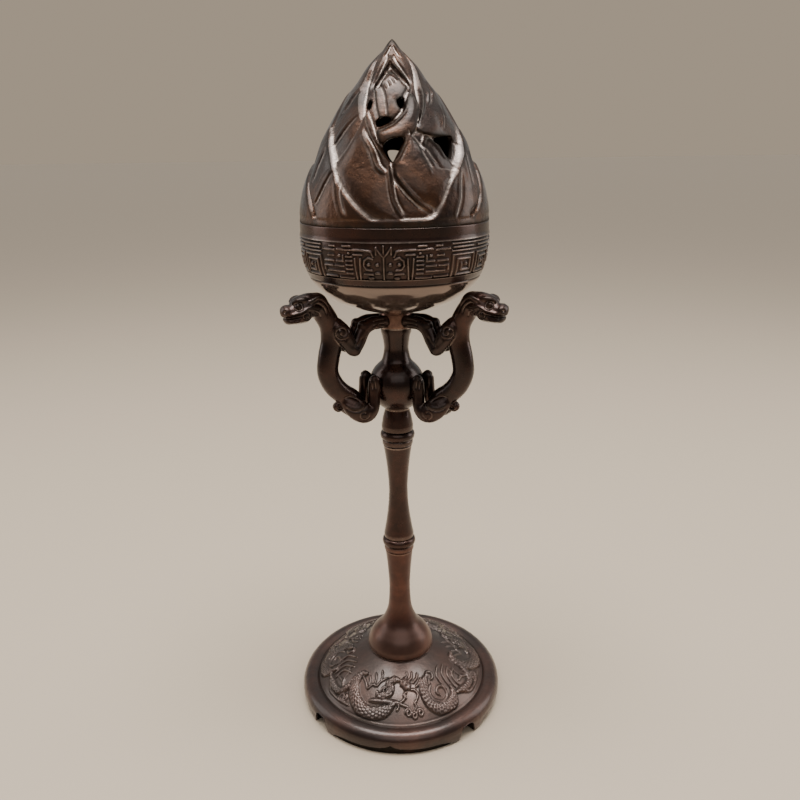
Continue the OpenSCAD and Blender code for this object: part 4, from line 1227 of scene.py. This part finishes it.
# Half of one mask and its fret, as distances from the nose and below the band's upper edge: lines, level
# bars with their two ends and depth, and studs with their half-width and half-height
FRET = [
    [(0, 0.9), (0, 12)], [(0.2, 4.4), (1.4, 3), (2.6, 1.4)], [(2.6, 1.4), (2.6, 3.6)],
    [(3.6, 4.4), (4.2, 2.9), (5.2, 2.5), (10.9, 2.3)], [(7.6, 3.9), (10.6, 3.8)],
    [(8.2, 5.2), (8.6, 12.1)], [(10.2, 5.2), (9.9, 12.1)],
    [(3.8, 5.2), (5.4, 4.8), (6.8, 5.8), (7, 7.4), (6, 8.8), (4.2, 9)], [(3.9, 10.4), (6.9, 10.2)],
    [(11.6, 2.4), (17, 2.2)], [(18.3, 2.5), (23.6, 2.4)], [(14.8, 4.4), (14.8, 6.2), (17.6, 6.2)],
    [(19.6, 7.9), (23.4, 7.9), (23.4, 9.4)],
    [(25.2, 12), (25.2, 4.8), (35.8, 4.8), (35.8, 11.8), (27.4, 11.8), (27.4, 6.4), (33.8, 6.4),
     (33.8, 10.2), (29.4, 10.2), (29.4, 8)],
]
BARS = [
    (11.8, 14.6, 1.1), (18.3, 20.4, 1.2), (11.4, 13.6, 4.6), (11.4, 13.6, 6), (11.4, 13.6, 7.4),
    (11.4, 13.6, 8.8), (11.4, 13.6, 10.2), (18.8, 21.2, 4.4), (19, 23, 6.2), (14.8, 18.4, 7.9),
    (14.8, 22, 9.7), (11.2, 17, 11.8), (18.2, 23.8, 11.6), (24.9, 36.9, 1), (25.4, 35.4, 2.2),
    (24.9, 36.9, 3.4),
]
STUDS = [(2.2, 7.2, 0.8, 0.7), (5.3, 7.1, 0.8, 0.7), (2.2, 10, 1.2, 0.6), (4.6, 11.7, 1.3, 0.6),
         (16.3, 4.4, 0.7, 0.6), (31.7, 8.3, 0.9, 0.8), (12.4, 3.4, 0.6, 0.5)]


def band_relief(depth):
    """Heights of the band's pattern, for a row at each depth below its upper edge."""
    from_nose = np.abs((column_angles(BOWL_COLUMNS) - MASK_TURN + 60) % 120 - 60)
    x = np.repeat(np.radians(from_nose)[None, :] * RIM_R, len(depth), 0)
    y = np.repeat(depth[:, None], BOWL_COLUMNS, 1)
    height = np.zeros(x.shape)
    for path in FRET + [[(left, below), (right, below)] for left, right, below in BARS]:
        d, _ = line_distance(x, y, path)
        height = np.maximum(height, unit((FRET_HALF_WIDTH - np.abs(d)) / FRET_SLOPE))
    for sx, sy, wide, tall in STUDS:
        away = np.hypot((x - sx) / wide, (y - sy) / tall)
        height = np.maximum(height, STUD_H * np.sqrt(unit(1 - away**2)))
    edge = unit(np.minimum(y, BAND_H - y) / 0.3)
    return BAND_DEPTH * np.where(edge < 1, edge * height, height)


def bowl():
    """The turned bowl with its band, a border line under the band, and a ledge for the pan."""
    side = bowl_side()
    side = np.vstack([side[:FINE_FROM:4], side[FINE_FROM:]])
    ground = spline([(BAND_LOW_R, BAND_RISE), (34.8, 21), (BAND_TOP_R, 27.3), (BAND_TOP_R, 29.8)], 20)
    ground = ground + (-BAND_DEPTH, BOWL_Z)
    z = np.linspace(BAND_Z, BAND_TOP, BAND_ROWS)
    band = np.stack([np.interp(z, ground[:, 1], ground[:, 0]), z], 1)
    rim = np.vstack([[(RIM_R, z) for z in np.linspace(BAND_TOP + 1.6, RIM_Z - 0.55, 12)],
                     high_corner(RIM_R, RIM_Z, RIM_FILLET)])
    under = MOUTH_R - LEDGE_W
    hollow = spline([(under, LEDGE_Z - 3.6), (under - 1, LEDGE_Z - 6.5), (under - 4, LEDGE_Z - 10),
                     (under - 9, LEDGE_Z - 12.8), (under - 15, BOWL_FLOOR + 0.7), (9, BOWL_FLOOR)], 4)
    height = RIM_Z - BOWL_Z
    mouth = [[MOUTH_R + RIM_FILLET, height], [MOUTH_R, height - RIM_FILLET], [MOUTH_R, LEDGE_Z],
             [under, LEDGE_Z]]
    inside = np.vstack([mouth, hollow, [[BORE_R, BOWL_FLOOR]]]) + (0, BOWL_Z)
    step = [[BAND_TOP_R, BAND_TOP + 0.05], [35.42, BAND_TOP + 0.5], [RIM_R, BAND_TOP + 1.4]]
    profile = np.vstack([[[BORE_R, BOWL_Z]], side, band, step, rim, inside])
    lift = np.zeros((len(profile), BOWL_COLUMNS))
    start = 1 + len(side)
    lift[start:start + BAND_ROWS] = band_relief(BAND_TOP - z)
    lift[1:start] = -BORDER_GROOVE * np.exp(-(((side[:, 1:] - BOWL_Z - BORDER_Z) / 0.3) ** 2))
    return revolve("banded_bowl", profile, BOWL_COLUMNS, lift)


def make_base_and_bowl():
    mesh = base()
    x, y, z = mesh_points(mesh).T
    # The foot ring under the skirt takes the dust colour as painted shade in the gap under the lobes;
    # elsewhere edges get painted highlight, and hollows get dust and painted shade.
    foot = (np.hypot(x, y) < BASE_R - SKIRT_T) & (z < FOOT_H)
    store(mesh, "wear_and_painted_light", np.where(foot, 0, proudness_of(mesh, passes=5, depth=0.3, edge_share=0.4)))
    # The dome is polished and painted with a sheen of the light from above.
    store(mesh, "polish_and_sheen", DOME_POLISH_AND_SHEEN * unit((ROLL_C - np.hypot(x, y)) / DOME_SHEEN_FADE))
    add_piece(mesh, BASE_BRONZE, "stand", "bronze", "base", sharp=60)
    mesh = bowl()
    # Edges get the worn colour with painted highlight, hollows dust and painted shade.
    store(mesh, "wear_and_painted_light", proudness_of(mesh, passes=4, depth=0.2, edge_share=0.4))
    # The underside below the border line is polished and painted with a sheen reflected from the floor.
    store(mesh, "polish_and_sheen", unit((BOWL_Z + BORDER_Z - mesh_points(mesh)[:, 2]) / BOWL_SHEEN_FADE))
    add_piece(mesh, BRONZE, "stand", "bronze", "bowl", sharp=60)


# Tie rod with its nuts and washers, and the pan

THREAD_PITCH = 0.7
THREAD_DEPTH = 0.35
THREAD_L = 16
ROD_CHAMFER = 0.5
PAN_WALL = 1.2


def tie_rod():
    """A rod with a chamfer and a thread, drawn as rings, at each end."""
    bottom, top, radius = span("tie_rod")
    turns = np.arange(ROD_CHAMFER, THREAD_L, THREAD_PITCH / 2)
    depth = np.where(np.arange(len(turns)) % 2, THREAD_DEPTH, 0)
    end = radius - ROD_CHAMFER
    low = np.vstack([[[0, bottom], [end, bottom]], np.stack([radius - depth, bottom + turns], 1)])
    high = np.vstack([[[0, top], [end, top]], np.stack([radius - depth, top - turns], 1)])
    return revolve("threaded_rod", np.vstack([low, high[::-1]]), 48)


def nut(node):
    """A six-sided nut with its corners turned off at both ends."""
    bottom, top, corner = span(node)
    flat = corner * math.cos(math.radians(30))
    columns = 120
    side = flat / np.cos(np.radians((column_angles(columns) - 90) % 60 - 30))
    end = [(BORE_R, 0), (flat - 0.2, 0), (corner - 0.1, 0.45), (corner, 0.6)]
    rows = np.array([(r, bottom + h) for r, h in end] + [(r, top - h) for r, h in end[::-1]])
    r, z = np.minimum(rows[:, :1], side), np.repeat(rows[:, 1:], columns, 1)
    return around_axis(node + "_forged", r, z)


def incense_pan():
    bottom, top, flange = span("incense_pan")
    ledge = top - PAN_WALL
    side = MOUTH_R - LEDGE_W - 0.8
    under = spline([(side - 6, bottom), (side - 2.4, bottom + 1.4), (side - 0.4, ledge - 2),
                    (side, ledge)], 6)
    inner = spline([(side - PAN_WALL, ledge), (side - PAN_WALL - 0.4, ledge - 1.6),
                    (side - 3.2, bottom + PAN_WALL + 1), (side - 6.6, bottom + PAN_WALL)], 6)
    edge = arc(flange - PAN_WALL / 2, ledge + PAN_WALL / 2, PAN_WALL / 2, -90, 90, 8)
    floor = bottom + PAN_WALL
    profile = np.vstack([[[0, bottom], [8, bottom], [16, bottom]], under, edge,
                         [[side - PAN_WALL + 0.5, top]], inner, [[16, floor], [8, floor], [0, floor]]])
    return revolve("turned_pan", profile)


def make_fittings():
    add_piece(tie_rod(), STEEL, "stand", "steel", "tie_rod")
    for washer_node, nut_node in (("base_washer", "base_nut"), ("bowl_washer", "bowl_nut")):
        add_piece(plain_ring(washer_node, "stamped", 0.25, 72), STEEL, "stand", "steel", washer_node)
        add_piece(nut(nut_node), STEEL, "stand", "steel", nut_node)
    add_piece(incense_pan(), BRASS, "pan", "pan_brass", "incense_pan")
    for node in ("collar_pins", "ball_pins"):
        NODES[node].data.materials.clear()
        NODES[node].data.materials.append(STEEL)


# Camera, floor and light: the lights' places and sizes are in metres

CAMERA_PLACE = (1.19, -283.9, 232.2)
CAMERA_TURN = 1.5
CAMERA_PITCH = 18.43
CAMERA_ROLL = -0.741
FOCAL_PIXELS = 740
IMAGE_PIXELS = 800
FLOOR_REACH = 30000
LIGHTS_AIM = (0, 0, 0.15)
WORLD_STRENGTH = 0.75
BACKDROP = (0.39, 0.32, 0.243)


def make_camera():
    data = bpy.data.cameras.new("camera")
    data.sensor_width = 36
    data.lens = data.sensor_width * FOCAL_PIXELS / IMAGE_PIXELS
    data.clip_start = 0.01
    camera = add_object("camera", data)
    camera.matrix_world = (Matrix.Rotation(math.radians(CAMERA_TURN), 4, "Z")
                           @ Matrix.Translation(Vector(CAMERA_PLACE) * MM)
                           @ Matrix.Rotation(math.radians(90 - CAMERA_PITCH), 4, "X")
                           @ Matrix.Rotation(math.radians(CAMERA_ROLL), 4, "Z"))
    bpy.context.scene.camera = camera


def make_floor():
    n = Nodes(bpy.data.materials.new("pale_floor"))
    n.set(Base_Color=(0.54, 0.45, 0.35, 1), Roughness=0.6)
    corners = [[x * FLOOR_REACH, y * FLOOR_REACH, 0] for x, y in ((-1, -1), (1, -1), (1, 1), (-1, 1))]
    mesh = make_mesh("floor", corners, [[0, 1, 2, 3]])
    mesh.materials.append(n.owner)
    floor = add_object("floor", mesh)


def soft_light(name, place, size, watts, colour=(1, 0.97, 0.93)):
    """An area light that faces the middle of the object."""
    data = bpy.data.lights.new(name, "AREA")
    data.shape = "RECTANGLE"
    data.size, data.size_y = size
    data.energy = watts
    data.color = colour
    light = add_object(name, data)
    light.location = place
    light.rotation_euler = (Vector(LIGHTS_AIM) - Vector(place)).to_track_quat("-Z", "Y").to_euler()


def make_world():
    """Light from above, behind and both sides, little from the front; the camera sees one plain tone."""
    world = bpy.data.worlds.new("studio")
    n = Nodes(world, "Background")
    direction = n.add("ShaderNodeTexCoord").outputs["Generated"]
    parts = n.add("ShaderNodeSeparateXYZ", {"Vector": direction}).outputs
    behind = n.ramp(parts["Y"], -0.75, 0.1, 0.15, 0.55)
    above = n.ramp(parts["Z"], 0.45, 0.95, 0, 1.6)
    strength = n.math("MULTIPLY", n.math("MAXIMUM", behind, above), WORLD_STRENGTH)
    seen = n.add("ShaderNodeLightPath").outputs["Is Camera Ray"]
    n.set(Color=n.mix(seen, (1, 0.96, 0.9, 1), (*BACKDROP, 1)),
          Strength=n.math("MAXIMUM", strength, seen))
    bpy.context.scene.world = world


def make_lights():
    soft_light("overhead", (0.0, -0.06, 0.95), (0.8, 0.4), 11)
    soft_light("left", (-0.8, 0.1, 0.45), (0.4, 0.7), 1.6)
    soft_light("right", (0.8, 0.12, 0.45), (0.4, 0.7), 2.4)
    soft_light("front", (0.1, -0.9, 0.75), (1.1, 0.5), 1.5)


make_camera()
make_floor()
make_world()
make_lights()
make_stem()
make_lid()
make_dragons()
make_base_and_bowl()
make_fittings()
